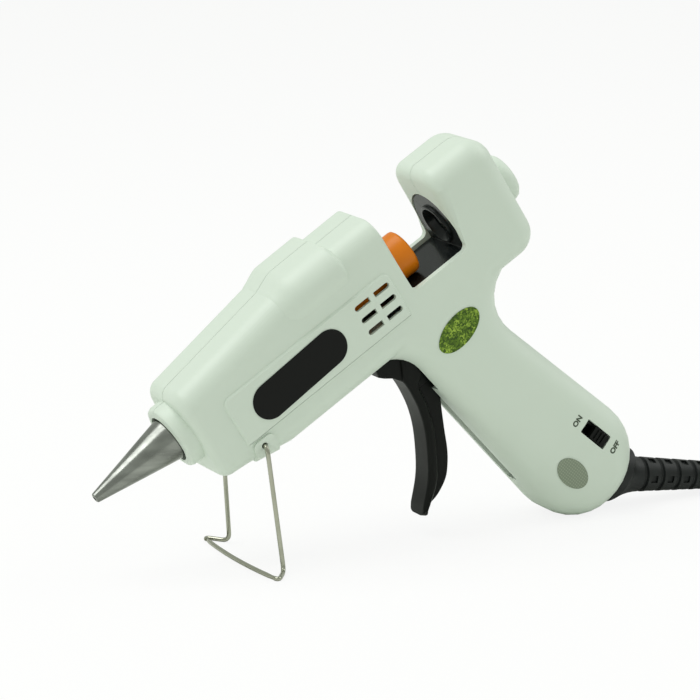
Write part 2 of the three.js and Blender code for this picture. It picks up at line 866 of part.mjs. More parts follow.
// Heater stack in its pocket, from the top down
function electrode(top) {
  const bottom = top - electrodeThickness;
  const sheet = block(heaterFront, heaterRear, -heaterWidth / 2, heaterWidth / 2, bottom, top);
  return join(sheet, block(heaterRear - tabLength, heaterRear + tabLength, -tabHalf, tabHalf, bottom, top));
}
const upperTop = slotTop - gap;
const heaterTop = upperTop - electrodeThickness - gap;
const lowerTop = heaterTop - heaterThickness - gap;
const filmTop = lowerTop - electrodeThickness - gap;
place('upper_electrode', electrode(upperTop), materials.brass);
const heaterHalf = heaterWidth / 2;
const heaterBottom = heaterTop - heaterThickness;
const heater = block(heaterFront, heaterRear, -heaterHalf, heaterHalf, heaterBottom, heaterTop);
place('ptc_heater', heater, materials.ceramic);
place('lower_electrode', electrode(lowerTop), materials.brass);
const film = block(heaterFront, heaterRear, -heaterHalf, heaterHalf, filmTop - filmThickness, filmTop);
place('heater_insulation', film, materials.film);

// Inlet sleeve on the stub of the chamber, held by its clip
function inletSleeve() {
  const seat = chamberRear + stubLength + gap;
  const counter = stubRadius + gap;
  return turned([
    [sleeveFront, counter], [sleeveFront, sleeveRadius], [sleeveRear, sleeveRadius], [sleeveRear, stickBore],
    [seat, stickBore], [seat, counter], [sleeveFront, counter],
  ]);
}
place('inlet_sleeve', inletSleeve(), materials.orange);
const clipBore = sleeveRadius + gap;
const clip = turnedRing(clipAlong, clipAlong + clipLength, clipBore, clipBore + clipThickness);
place('sleeve_clip', clip, materials.steel);

// Feeder carriage: tray, back plate with its rim, cheeks for the drive pin and lugs for the clamp
const halfSwing = THREE.MathUtils.degToRad(triggerSwing / 2);
const armHeight = pivotDepth - driveDepth;
const driveAlong = pivotAlong + armHeight * Math.tan(halfSwing);
const plateFront = headFront + gap;
const plateRear = plateFront + plateThickness;
const clampPinDepth = trayBottom - plateRim / 2;
function feederCarriage() {
  const overlap = trayThickness / 2;
  const tray = block(trayFront, plateRear, -trayHalf, trayHalf, -trayBottom, -trayTop);
  const plate = bulkhead(backPlateArch(plateRadius, trayBottom), plateFront, plateRear);
  const rim = turnedRod(plateFront - rimRise, plateRear, plateHole + plateRim);
  const cheekStart = driveAlong - cheekLength / 2;
  const cheekOuter = cheekInner + cheekThickness;
  const cheekTop = -trayBottom + overlap;
  const cheekEnd = cheekStart + cheekLength;
  const cheeks = blockPair(cheekStart, cheekEnd, cheekInner, cheekOuter, -cheekDepth, cheekTop);
  const lugOuter = lugInner + lugThickness;
  const lugRear = clampAlong + lugRadius;
  const lugLow = -clampPinDepth - lugRadius;
  const lugHigh = -clampPinDepth + lugRadius;
  const lugs = blockPair(plateRear - overlap, lugRear, lugInner, lugOuter, lugLow, lugHigh);
  return cut(
    join(tray, plate, rim, cheeks, lugs),
    turnedRod(plateFront - overrun, plateRear + overrun, plateHole),
    pin(driveAlong, -driveDepth, -halfWidth, halfWidth, drivePinRadius + gap),
    pin(clampAlong, -clampPinDepth, -halfWidth, halfWidth, clampPinRadius + gap),
  );
}
place('feeder_carriage', feederCarriage(), materials.dark);
const drivePinHalf = cheekInner + cheekThickness;
const drivePin = pin(driveAlong, -driveDepth, -drivePinHalf, drivePinHalf, drivePinRadius);
place('drive_pin', drivePin, materials.steel);
const clampPinHalf = lugInner + lugThickness;
const clampPin = pin(clampAlong, -clampPinDepth, -clampPinHalf, clampPinHalf, clampPinRadius);
place('clamp_pin', clampPin, materials.steel);

// Clamp lever round the glue stick behind the back plate
function clampLever() {
  const front = clampAlong - clampThickness / 2;
  const disc = turnedRod(front, front + clampThickness, clampRadius);
  const half = lugInner - gap;
  const tail = block(front, front + clampThickness, -half, half, -clampPinDepth, -plateHole - gap);
  const eye = pin(clampAlong, -clampPinDepth, -half, half, clampPinRadius + gap + clampThickness / 2);
  return cut(
    join(disc, tail, eye),
    turnedRod(front - overrun, front + clampThickness + overrun, plateHole),
    pin(clampAlong, -clampPinDepth, -halfWidth, halfWidth, clampPinRadius + gap),
  );
}
place('clamp_lever', clampLever(), materials.steel);

// Trigger: wide front pad, narrower web, hub and the fork that drives the feeder
const padShares = [
  [0.571, -0.342], [0.535, -0.117], [0.518, -0.059], [0.412, -0.008], [0.412, 0.076], [0.433, 0.246],
  [0.504, 0.425], [0.644, 0.633], [0.768, 0.77], [0.947, 0.909],
];
const padTipShares = [[1, 0.975], [0.933, 1], [0.898, 0.924]];
const webRearShares = [
  [0.796, 0.891], [0.655, 0.856], [0.511, 0.77], [0.412, 0.658], [0.285, 0.481], [0.211, 0.329],
  [0.16, 0.15],
];
const padRearShares = [
  [0.683, 0.82], [0.549, 0.673], [0.398, 0.451], [0.32, 0.253], [0.299, 0.076], [0.16, 0], [0.16, -0.2],
];
function triggerPoint([back, down]) {
  return [pivotAlong - back * triggerReach, -pivotDepth - down * triggerDrop];
}
const armTurn = new THREE.Matrix4();
function triggerSolid() {
  const pad = [...padShares, ...padTipShares, ...padRearShares];
  const web = [...padShares, ...padTipShares, ...webRearShares, [0, 0], [0.16, -0.2]];
  const leaned = (geometry) => geometry
    .translate(-pivotAlong, 0, pivotDepth)
    .applyMatrix4(armTurn.makeRotationY(halfSwing))
    .translate(pivotAlong, 0, -pivotDepth);
  const foot = -pivotDepth;
  const throat = drivePinRadius + gap;
  const arm = block(
    pivotAlong - forkWidth / 2, pivotAlong + forkWidth / 2, -forkHalf, forkHalf, foot, foot + forkTop,
  );
  const slotSky = foot + forkTop + overrun;
  const slot = block(
    pivotAlong - throat, pivotAlong + throat, -halfWidth, halfWidth, foot + forkThroat, slotSky,
  );
  return cut(
    join(
      softPrism(outline(pad.map(triggerPoint)), padHalf, triggerEdge),
      prism(outline(web.map(triggerPoint)), -webHalf, webHalf),
      pin(pivotAlong, foot, -hubHalf, hubHalf, hubRadius),
      leaned(arm),
    ),
    leaned(slot),
    pin(pivotAlong, foot, -halfWidth, halfWidth, pivotRadius + gap),
  );
}
place('trigger', triggerSolid(), materials.black);
const triggerPin = pin(pivotAlong, -pivotDepth, -pinLength / 2, pinLength / 2, pivotRadius);
place('trigger_pin', triggerPin, materials.steel);

// Return spring on the trigger pin, between the hub and the right boss
const springRadius = pivotRadius + gap + 2 * springWire;
function returnSpring() {
  const points = [];
  const steps = springSteps * springCoils;
  const start = hubHalf + gap + springWire;
  for (let k = 0; k <= steps; k += 1) {
    const turn = (2 * Math.PI * k) / springSteps;
    const y = start + (springPitch * k) / springSteps;
    points.push([
      pivotAlong + springRadius * Math.sin(turn), y, -pivotDepth - springRadius * Math.cos(turn),
    ]);
  }
  points.push([points.at(-1)[0] + 2 * springRadius, points.at(-1)[1], points.at(-1)[2]]);
  return tube(points, springWire, steps + springSides, springSides);
}
place('return_spring', returnSpring(), materials.steel);

// Wire stand: two pins in the ears, two legs and a bowed foot
const pivotX = standAlong * Math.cos(tilt) + standDepth * Math.sin(tilt);
const pivotZ = standAlong * Math.sin(tilt) - standDepth * Math.cos(tilt);
const floor = heelAlong * Math.sin(tilt) - heelDepth * Math.cos(tilt) - heelRadius;
function standWire() {
  const foot = floor + wireRadius;
  const corner = pivotX + legSwing;
  const ahead = corner - footForward;
  const half = [
    [pivotX, standPinEnd, pivotZ],
    [pivotX, legTop, pivotZ],
    [corner, legFoot, foot],
    [ahead, footHalf, foot],
    [ahead - footBulge, 0, foot],
  ];
  const mirrored = half.slice(0, -1).reverse().map(([x, y, z]) => [x, -y, z]);
  const corners = [...half, ...mirrored].map(([x, y, z]) => new THREE.Vector3(x, y, z));
  const path = new THREE.CurvePath();
  let from = corners[0];
  for (let i = 1; i < corners.length - 1; i += 1) {
    const bow = corners[i].y === 0 ? footHalf : standBend;
    const back = corners[i - 1].clone().sub(corners[i]);
    const on = corners[i + 1].clone().sub(corners[i]);
    const enter = back.setLength(Math.min(bow, back.length() - standBend)).add(corners[i]);
    const leave = on.setLength(Math.min(bow, on.length() - standBend)).add(corners[i]);
    path.add(new THREE.LineCurve3(from, enter));
    path.add(new THREE.QuadraticBezierCurve3(enter, corners[i], leave));
    from = leave;
  }
  path.add(new THREE.LineCurve3(from, corners.at(-1)));
  const ring = [];
  for (let k = 0; k < wireSides; k += 1) {
    const angle = (2 * Math.PI * k) / wireSides;
    ring.push(new THREE.Vector2(wireRadius * Math.cos(angle), wireRadius * Math.sin(angle)));
  }
  const options = { steps: wireSteps, extrudePath: path, bevelEnabled: false };
  return new THREE.ExtrudeGeometry(new THREE.Shape(ring), options);
}
place('stand_wire', standWire(), materials.steel, whole);

// Slide switch in the left flank of the grip
const switchTurnAngle = THREE.MathUtils.degToRad(switchAngle);
const sliderShift = (switchWindowLength - sliderLength) / 2 - gap;
const offX = switchAlong + sliderShift * Math.cos(switchTurnAngle);
const offZ = -switchDepth + sliderShift * Math.sin(switchTurnAngle);
const stemDepth = switchBodyDepth / 2;
function switchBody() {
  const face = roundedBox(switchAlong, -switchDepth, switchBodyLength, switchBodyWidth, gap, switchAngle);
  const travel = switchWindowLength - sliderLength;
  const room = sliderStemWidth + 2 * gap;
  const track = roundedBox(switchAlong, -switchDepth, room + travel, room, gap, switchAngle);
  const top = -inner + gap;
  return cut(
    prism(face, top, top + switchBodyDepth),
    prism(track, top - overrun, top + stemDepth + gap),
  );
}
place('switch_body', switchBody(), materials.black);
function switchSlider() {
  const cap = roundedBox(offX, offZ, sliderLength, sliderWidth, gap, switchAngle);
  const stem = roundedBox(offX, offZ, sliderStemWidth, sliderStemWidth, gap, switchAngle);
  const under = -inner;
  return join(
    prism(cap, -halfWidth - gap, under),
    prism(stem, under - gap, -inner + gap + stemDepth),
  );
}
place('switch_slider', switchSlider(), materials.black);

// Bare label on the panel and two bare stickers on the flank
function sticker(shape) {
  const slabs = (grow) => join(slab(sharpBody, flankEdge, grow), slab(grip, gripEdge, grow));
  const shell = cut(slabs(stickerGap + stickerThickness), slabs(stickerGap));
  return common(shell, prism(shape, -halfWidth - overrun, 0));
}
const labelShape = roundedBox(
  labelAlong, -labelDepth, labelLength, labelWidth, labelWidth / 2 - stickerGap, labelTurn,
);
const labelFace = -(halfWidth + panelRise + stickerGap);
place('info_label', prism(labelShape, labelFace - stickerThickness, labelFace), materials.label);
const foilShape = ellipse(foilAlong, -foilDepth, foilLength, foilWidth, foilTurn);
place('foil_sticker', sticker(foilShape), materials.foil);
const sealShape = ellipse(sealAlong, -sealDepth, sealLength, sealWidth, switchAngle);
place('seal_sticker', sticker(sealShape), materials.seal);

// Strain relief, ribbed, seated on the heel
function strainRelief() {
  const profile = [[-reliefPlug, 0], [-reliefPlug, reliefFlare], [0, reliefFlare]];
  const first = reliefFlare - ribGroove;
  profile.push([ribPitch / 2, (reliefFlare + reliefRadius) / 2]);
  const ribs = Math.floor((reliefLength - first) / ribPitch);
  for (let k = 0; k < ribs; k += 1) {
    const start = first + k * ribPitch;
    const radius = reliefRadius + ((reliefEnd - reliefRadius) * (k + 1)) / ribs;
    const groove = ribGrooveShare * ribPitch;
    profile.push([start - groove, radius], [start, radius - ribGroove], [start + groove, radius]);
  }
  profile.push([reliefLength, reliefEnd], [reliefLength, 0]);
  const seated = cut(toRelief(turned(profile)), slab(grip, gripEdge, gap));
  const neck = toRelief(turned([
    [flangeRear, 0], [flangeRear, reliefPlugRadius + wall / 2], [flangeFront, reliefPlugRadius + wall / 2],
    [flangeFront, reliefPlugRadius], [reliefPlug, reliefPlugRadius], [reliefPlug, 0],
  ]));
  const bore = toRelief(turnedRod(flangeRear - overrun, reliefLength + overrun, cordRadius + gap));
  return cut(join(seated, neck), bore);
}
place('strain_relief', strainRelief(), materials.relief);

// Cord inside the relief, its clamp and the leads to switch and heater
const cordInnerEnd = clampBarAt + clampBarWidth / 2 + gap;
place('cord_inner', toRelief(turnedRod(-cordInnerEnd, reliefLength, cordRadius)), materials.cord);
function cordClamp() {
  const bar = block(
    -clampBarAt - clampBarWidth / 2, -clampBarAt + clampBarWidth / 2, cordSeat, cordSeat + clampBarThickness,
    -clampBarHalf, clampBarHalf,
  );
  const holes = clampPosts.map(([x, z]) => pin(x, z, 0, halfWidth, clampScrewRadius + gap));
  return cut(toRelief(bar), ...holes);
}
place('cord_clamp', cordClamp(), materials.black);
for (const [i, [x, z]] of clampPosts.entries()) {
  const under = cordSeat + clampBarThickness + gap;
  const head = pin(x, z, under, under + clampScrewRadius, clampScrewHead);
  const shank = pin(x, z, screwTip, under + gap, clampScrewRadius);
  place(`clamp_screw_${i + 1}`, join(head, shank), materials.steel);
}
const liveRoute = [
  [99.3, -0.9, -93.2], [98.6, -2, -90.5], [100, -3.2, -87], [103, -3.6, -84.6], [106, -3.6, -83],
];
const neutralRoute = [
  [98.5, 0.9, -94.4], [97.2, 2.6, -92], [98, 4.6, -88.5], [100.5, 7, -84], [101, 8, -78], [99.5, 8, -68],
  [97, 8, -56], [92.5, 8, -44], [89.4, 8, -34], [87.8, 8, -24], [83, 8, -17], [74, 8, -13.6],
  [66, 8, -13.2], [60.5, 8.6, -11.5], [56, 9.3, -9.2], [52, 9, -8.6], [49, 6.5, -9.6], [46.5, 3.4, -11.2],
  [45, 2.2, -11.9],
];
const switchedRoute = [
  [110.5, -3.6, -79.5], [109, -1, -76], [106, 3.5, -71], [102.5, 6, -64], [98.6, 6, -53], [94, 6, -43],
  [91.5, 6, -34], [90.5, 6.2, -24.5],
];
function lead(route) {
  return tube(route, leadRadius, 2 * route.length, routeSides);
}
place('lead_live', lead(liveRoute), materials.label);
place('lead_neutral', lead(neutralRoute), materials.seal);
place('lead_switched', lead(switchedRoute), materials.label);

// Lead on the surface: a free run, a coil in two layers, and a tail to the plug
const leadGroup = new THREE.Group();
const [reliefEndX, reliefEndZ] = alongRelief(reliefLength);
const endX = reliefEndX * Math.cos(tilt) - reliefEndZ * Math.sin(tilt);
const endZ = reliefEndX * Math.sin(tilt) + reliefEndZ * Math.cos(tilt);
leadGroup.position.set(endX, 0, endZ);
whole.add(leadGroup);
place('cord_lead', tube(leadRoute, cordRadius, leadSteps, routeSides), materials.cord, leadGroup);

const lowLayer = floor - endZ + cordRadius + tieThickness + gap;
const coilPoints = [];
const reversal = coilLoops / 2;
for (let k = 0; k <= coilLoops * loopSteps; k += 1) {
  const turn = k / loopSteps;
  const off = Math.abs(turn - reversal);
  const eased = off < easeTurns ? (off * off + easeTurns ** 2) / (2 * easeTurns) : off;
  const radius = coilOuter - coilPitch * (reversal - eased);
  const climb = THREE.MathUtils.smoothstep(turn, reversal - easeTurns, reversal + easeTurns);
  const angle = Math.PI / 2 - 2 * Math.PI * turn;
  coilPoints.push([
    coilAhead + radius * Math.cos(angle), coilAside + radius * Math.sin(angle), lowLayer + coilPitch * climb,
  ]);
}
const straight = 2 * cordRadius;
const coilEntry = coilPoints[0];
const coilExit = coilPoints.at(-1);
coilPoints.unshift([coilEntry[0] - straight, coilEntry[1], coilEntry[2]]);
coilPoints.push([coilExit[0] + straight, coilExit[1], coilExit[2]]);

// Least distance between the surfaces of turns that lie beside or on each other
let least = Infinity;
for (let i = 0; i < coilPoints.length; i += 1) {
  for (let j = i + loopSteps / 2; j < coilPoints.length; j += 1) {
    const apart = Math.hypot(...coilPoints[i].map((value, axis) => value - coilPoints[j][axis]));
    least = Math.min(least, apart - 2 * cordRadius);
  }
}
console.log('least gap between the turns of the coil', least.toFixed(2), 'mm');

// Wound tube: one ring of points at each step, joined into one skin
function woundTube(points, radius, sides) {
  const count = points.length;
  const positions = [];
  const up = new THREE.Vector3(0, 0, 1);
  points.forEach((point, i) => {
    const here = new THREE.Vector3(...point);
    const from = new THREE.Vector3(...points[Math.max(i - 1, 0)]);
    const to = new THREE.Vector3(...points[Math.min(i + 1, count - 1)]);
    const ahead = to.sub(from).normalize();
    const side = up.clone().cross(ahead).normalize();
    const rise = ahead.clone().cross(side);
    for (let k = 0; k < sides; k += 1) {
      const angle = (2 * Math.PI * k) / sides;
      const spoke = side.clone().multiplyScalar(Math.cos(angle)).addScaledVector(rise, Math.sin(angle));
      positions.push(...spoke.multiplyScalar(radius).add(here));
    }
  });
  const faces = [];
  for (let i = 0; i < count - 1; i += 1) {
    for (let k = 0; k < sides; k += 1) {
      const a = i * sides + k;
      const b = i * sides + ((k + 1) % sides);
      faces.push(a, b, b + sides, a, b + sides, a + sides);
    }
  }
  for (let k = 1; k < sides - 1; k += 1) {
    const last = (count - 1) * sides;
    faces.push(0, k + 1, k, last, last + k, last + k + 1);
  }
  const geometry = new THREE.BufferGeometry();
  geometry.setAttribute('position', new THREE.Float32BufferAttribute(positions, 3));
  geometry.setIndex(faces);
  return geometry;
}
place('cord_coil', woundTube(coilPoints, cordRadius, loopSides), materials.cord, leadGroup);
place('cord_tail', tube(tailRoute, cordRadius, tailSteps, routeSides), materials.cord, leadGroup);

// Tie round the turns
function cordTie() {
  const outer = coilOuter + cordRadius + gap;
  const nearest = coilOuter - coilPitch * (reversal - easeTurns / 2) - cordRadius - gap;
  const low = lowLayer - cordRadius - gap;
  const high = lowLayer + coilPitch + cordRadius + gap;
  const start = coilAhead - tieWidth / 2;
  const end = coilAhead + tieWidth / 2;
  const thick = tieThickness;
  const near = coilAside + nearest;
  const farthest = coilAside + outer;
  const band = block(start, end, near - thick, farthest + thick, low - thick + gap, high + thick);
  return cut(band, block(start - overrun, end + overrun, near, farthest, low, high));
}
place('cord_tie', cordTie(), materials.black, leadGroup);

// Plug resting on the coil, its blades towards the object
const tailEnd = tailRoute.at(-1);
const plugFace = tailEnd[0] - gap - plugLength;
function plugBody() {
  const neckLength = plugLength / 3;
  const neckThick = plugThickness / 2 - gap;
  const face = outline([
    [-plugWidth / 2, -plugThickness / 2, plugThickness / 4],
    [plugWidth / 2, -plugThickness / 2, plugThickness / 4],
    [plugWidth / 2, plugThickness / 2, plugThickness / 4],
    [-plugWidth / 2, plugThickness / 2, plugThickness / 4],
  ]);
  const shell = bulkhead(face, 0, plugLength - neckLength);
  const neck = turned([
    [neckLength, 0], [neckLength, neckThick], [plugLength - neckLength, neckThick],
    [plugLength, cordRadius + wall / 2], [plugLength, 0],
  ]);
  return join(shell, neck);
}
const plugGroup = new THREE.Group();
plugGroup.position.set(plugFace, tailEnd[1], tailEnd[2]);
leadGroup.add(plugGroup);
place('plug_body', plugBody(), materials.cord, plugGroup);
for (const [i, side] of [-1, 1].entries()) {
  const y = side * (bladeSpacing / 2);
  const half = bladeThickness / 2;
  const blade = block(-gap - bladeLength, -gap, y - half, y + half, -bladeWidth / 2, bladeWidth / 2);
  place(`plug_blade_${i + 1}`, blade, materials.brass, plugGroup);
}

// Origin under the middle of the gun with its stand, without the lead
whole.updateMatrixWorld(true);
const reach = new THREE.Box3();
gun.traverse((mesh) => mesh.isMesh && reach.union(new THREE.Box3().setFromObject(mesh, true)));
reach.union(new THREE.Box3().setFromObject(whole.getObjectByName('stand_wire'), true));
const middle = reach.getCenter(new THREE.Vector3());
for (const part of whole.children) part.position.sub(new THREE.Vector3(middle.x, middle.y, reach.min.z));

export default whole;
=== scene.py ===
import math

import bmesh
import bpy
from mathutils import Matrix, Vector


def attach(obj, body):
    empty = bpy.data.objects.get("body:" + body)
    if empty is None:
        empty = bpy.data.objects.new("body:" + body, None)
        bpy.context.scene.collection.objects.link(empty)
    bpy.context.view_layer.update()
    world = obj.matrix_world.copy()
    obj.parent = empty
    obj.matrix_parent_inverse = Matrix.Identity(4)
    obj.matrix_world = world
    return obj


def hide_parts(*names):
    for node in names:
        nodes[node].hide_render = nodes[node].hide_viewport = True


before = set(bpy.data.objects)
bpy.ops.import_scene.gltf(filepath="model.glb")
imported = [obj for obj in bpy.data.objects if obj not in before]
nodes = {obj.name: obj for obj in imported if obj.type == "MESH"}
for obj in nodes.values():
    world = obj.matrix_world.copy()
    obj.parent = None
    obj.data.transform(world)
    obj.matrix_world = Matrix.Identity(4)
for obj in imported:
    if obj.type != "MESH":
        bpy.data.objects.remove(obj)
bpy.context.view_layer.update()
scene = bpy.context.scene
print("frame loaded")

# the gun is modelled level in millimetres, along the axis of its glue stick, then tipped nose down
mm = 0.001
noseDown = math.radians(32)
noseRoot = Vector((-0.0818624, 0, 0.0393582))
standing = Matrix.Translation(noseRoot) @ Matrix.Scale(mm, 4)
tipped = Matrix.Translation(noseRoot) @ Matrix.Rotation(-noseDown, 4, "Y") @ Matrix.Scale(mm, 4)


def shown(name, data):
    made = bpy.data.objects.new(name, data)
    scene.collection.objects.link(made)
    return made


# camera: a long lens, slightly from above and from the nozzle's side
view = {"place": (-0.4679, -0.8366, 0.27795), "turn": (77, 0, -28), "lens": 170.5, "sensor": 36, "farEnd": 50}
camera = shown("camera", bpy.data.cameras.new("camera"))
camera.data.lens = view["lens"]
camera.data.sensor_width = view["sensor"]
camera.data.clip_end = view["farEnd"]
camera.location = view["place"]
camera.rotation_euler = [math.radians(a) for a in view["turn"]]
scene.camera = camera
scene.view_settings.view_transform = "Standard"
print("camera placed")


def linear(code):
    parts = [int(code[i:i + 2], 16) / 255 for i in (1, 3, 5)]
    return [c / 12.92 if c <= 0.04045 else ((c + 0.055) / 1.055) ** 2.4 for c in parts] + [1.0]


def addNode(tree, kind, inputs=None, **settings):
    made = tree.nodes.new(kind)
    for name, value in settings.items():
        setattr(made, name, value)
    for socket, value in (inputs or {}).items():
        if isinstance(value, bpy.types.NodeSocket):
            tree.links.new(value, made.inputs[socket])
        else:
            made.inputs[socket].default_value = value
    return made


def newMaterial(name):
    material = bpy.data.materials.new(name)
    material.use_nodes = True
    material.node_tree.nodes.clear()
    return material, material.node_tree


def finishShader(tree, sockets):
    shader = addNode(tree, "ShaderNodeBsdfPrincipled", sockets)
    addNode(tree, "ShaderNodeOutputMaterial", {"Surface": shader.outputs[0]})


def place(tree, size=(1, 1, 1), turn=(0, 0, 0)):
    coords = addNode(tree, "ShaderNodeTexCoord")
    mapping = addNode(tree, "ShaderNodeMapping", {"Vector": coords.outputs["Object"], "Rotation": turn, "Scale": size})
    return mapping.outputs[0]


def mottled(name, base, patchToneAndReflection, rough, grain, depth, patch, sockets, size=(1, 1, 1), turn=(0, 0, 0)):
    # base and worn are the two tones mixed in broad patches, the second being painted reflection on the nozzle; patch
    # and grain are sizes in mm, depth the height of the grain in mm
    material, tree = newMaterial(name)
    where = place(tree, size, turn)
    broad = addNode(tree, "ShaderNodeTexNoise", {
        "Vector": where, "Scale": 1 / (patch * mm), "Detail": 3.0, "Roughness": 0.55})
    tone = addNode(tree, "ShaderNodeMix", {  # sockets 6 and 7 are the two colours
        0: broad.outputs[0], 6: linear(base), 7: linear(patchToneAndReflection)}, data_type="RGBA")
    fine = addNode(tree, "ShaderNodeTexNoise", {
        "Vector": where, "Scale": 1 / (grain * mm), "Detail": 4.0, "Roughness": 0.6})
    gloss = addNode(tree, "ShaderNodeMapRange", {
        "Value": broad.outputs[0], "From Min": 0.3, "From Max": 0.7, "To Min": rough[0], "To Max": rough[1]})
    bump = addNode(tree, "ShaderNodeBump", {
        "Height": fine.outputs[0], "Strength": 1.0, "Distance": depth * mm})
    finishShader(tree, {
        "Base Color": tone.outputs[2], "Roughness": gloss.outputs[0], "Normal": bump.outputs[0], **sockets})
    return material


# each finish: its two tones, roughness, grain and grain height, patch size, then what sets it apart
metal = {"Metallic": 1.0}
finishes = {
    # off-white ABS, satin from a fine-sparked mould, a little light goes in at the thin lips
    "mouldedAbs": ("#D8E3D7", "#D4DFD3", (0.40, 0.47), 0.8, 0.004, 30, {
        "IOR": 1.53, "Subsurface Weight": 0.06, "Subsurface Radius": (0.9, 0.9, 0.8), "Subsurface Scale": 0.001}),
    # glass-filled nylon of the stick sleeve, moulded smooth, warm orange
    "orangeNylon": ("#E68410", "#DA7204", (0.30, 0.42), 0.7, 0.006, 9, {"IOR": 1.5, "Specular IOR Level": 0.3}),
    # black ABS of the trigger, moulded satin with a soft highlight
    "blackAbs": ("#0B0D0B", "#101210", (0.34, 0.44), 0.7, 0.006, 14, {"IOR": 1.5, "Specular IOR Level": 0.14}),
    # polished dark plastic of the feeder, nearly a mirror at a slant
    "glossyTray": ("#151919", "#1C2020", (0.16, 0.26), 1.2, 0.003, 12, {"IOR": 1.56, "Specular IOR Level": 0.17}),
    # soft black PVC of relief, lead and plug, dull with a fine skin
    "softPvc": ("#121515", "#191D1D", (0.42, 0.55), 0.5, 0.012, 8, {"IOR": 1.5, "Specular IOR Level": 0.35}),
    # turned nozzle, its dark tone streaked along the axis is painted reflection of dark studio surroundings, with fine
    # marks round it
    "turnedAlloy": ("#B9BCB6", "#3E403C", (0.16, 0.30), 0.25, 0.006, 4.5, metal, (0.1, 1, 1), (0, noseDown, 0)),
    # drawn and plated steel wire, also for screws and pins, bright
    "brightWire": ("#B4B4A6", "#A2A394", (0.16, 0.26), 0.2, 0.003, 5, metal),
    # rolled and stamped brass, yellow with duller patches
    "stampedBrass": ("#C8A250", "#B58F42", (0.22, 0.34), 0.3, 0.004, 4, metal),
    # cast alloy of the melt chamber, grey and grainy
    "castAlloy": ("#B4B7B9", "#9FA2A4", (0.38, 0.52), 0.4, 0.02, 6, metal),
    # unglazed ceramic of the heater, chalky
    "firedCeramic": ("#D8D1BC", "#C9C2AC", (0.6, 0.75), 0.3, 0.01, 4, {"IOR": 1.6}),
    # polyimide wrap of the heater, amber and shiny
    "amberFilm": ("#B98A2C", "#A97A20", (0.25, 0.35), 0.5, 0.003, 5, {"IOR": 1.7}),
    # pressed fibre washer, dark and dry
    "pressedWasher": ("#20221F", "#2B2D29", (0.5, 0.65), 0.3, 0.01, 3, {"IOR": 1.5}),
    # black polyester label, flat with an even sheen
    "labelFilm": ("#090A09", "#0E0F0E", (0.28, 0.36), 0.9, 0.002, 10, {"IOR": 1.5, "Specular IOR Level": 0.16}),
    # pad-printed grey green ink, thin and a bit uneven
    "padInk": ("#3A4535", "#465240", (0.45, 0.6), 0.2, 0.003, 1.2, {"IOR": 1.5}),
    # extruded PVC of the thin leads, one grey blue, two black
    "blueSheath": ("#7F8A7A", "#74806F", (0.4, 0.5), 0.4, 0.005, 5, {"IOR": 1.52}),
    "blackSheath": ("#161716", "#1D1F1D", (0.4, 0.5), 0.4, 0.005, 5, {"IOR": 1.52}),
}
materials = {name: mottled(name, *look) for name, look in finishes.items()}


def coated(thing, material):
    thing.data.materials.clear()
    thing.data.materials.append(materials[material])


def foilMaterial(look):
    # green metallised film with an embossed grain, so its colour breaks up into small bright and dark patches
    material, tree = newMaterial("embossedFoil")
    where = place(tree)
    cells = addNode(tree, "ShaderNodeTexVoronoi", {
        "Vector": where, "Scale": 1 / (look["cell"] * mm), "Randomness": 1.0})
    cloud = addNode(tree, "ShaderNodeTexNoise", {"Vector": where, "Scale": 1 / (look["cloud"] * mm), "Detail": 4.0})
    blend = addNode(tree, "ShaderNodeMath", {0: cloud.outputs[0], 1: cells.outputs["Color"]}, operation="MULTIPLY")
    tones = addNode(tree, "ShaderNodeValToRGB", {"Fac": blend.outputs[0]})
    ramp = tones.color_ramp
    ramp.elements.new(look["middle"][0])
    for stop, (spot, code) in zip(ramp.elements, (look["dark"], look["middle"], look["bright"])):
        stop.position, stop.color = spot, linear(code)
    bump = addNode(tree, "ShaderNodeBump", {
        "Height": cells.outputs["Distance"], "Strength": 1.0, "Distance": look["depth"] * mm})
    finishShader(tree, {
        "Base Color": tones.outputs[0], "Metallic": 0.55, "Roughness": 0.34, "Normal": bump.outputs[0]})
    return material


foilLook = {"dark": (0.10, "#344C14"), "middle": (0.30, "#58761E"), "bright": (0.52, "#A0BC48"),
            "cell": 0.5, "cloud": 4.2, "depth": 0.02}
materials["embossedFoil"] = foilMaterial(foilLook)


def sealMaterial(look):
    # grey silver paper with a woven grain, its threads drawn at 0.4 mm so that they show
    material, tree = newMaterial("grainedSeal")
    where = place(tree, turn=(0, math.radians(look["turn"]), 0))
    threads = 1 / (look["thread"] * mm) / 6.28  # a wave's scale counts radians
    across, along = (addNode(tree, "ShaderNodeTexWave", {
        "Vector": where, "Scale": threads, "Distortion": 1.5, "Detail": 2.0}, bands_direction=way) for way in "XZ")
    weave = addNode(tree, "ShaderNodeMath", {0: across.outputs["Fac"], 1: along.outputs["Fac"]}, operation="MULTIPLY")
    tones = addNode(tree, "ShaderNodeValToRGB", {"Fac": weave.outputs[0]})
    tones.color_ramp.elements[0].color = linear(look["dark"])
    tones.color_ramp.elements[1].color = linear(look["bright"])
    bump = addNode(tree, "ShaderNodeBump", {
        "Height": weave.outputs[0], "Strength": 1.0, "Distance": look["depth"] * mm})
    finishShader(tree, {
        "Base Color": tones.outputs[0], "Metallic": 0.35, "Roughness": 0.45, "Normal": bump.outputs[0]})
    return material


sealLook = {"dark": "#808B79", "bright": "#9BA590", "thread": 0.4, "depth": 0.008, "turn": -40}
materials["grainedSeal"] = sealMaterial(sealLook)
print("materials made")


def eased(share):
    share = min(max(share, 0), 1)
    return share * share * (3 - 2 * share)


def flat(corner):
    return Vector((corner[0], corner[1]))


def bevelled(bm, edges, radius, segments):
    bmesh.ops.bevel(bm, geom=edges, offset=radius, offset_type="OFFSET", segments=segments, profile=0.5,
                    affect="EDGES", clamp_overlap=False, material=-1)


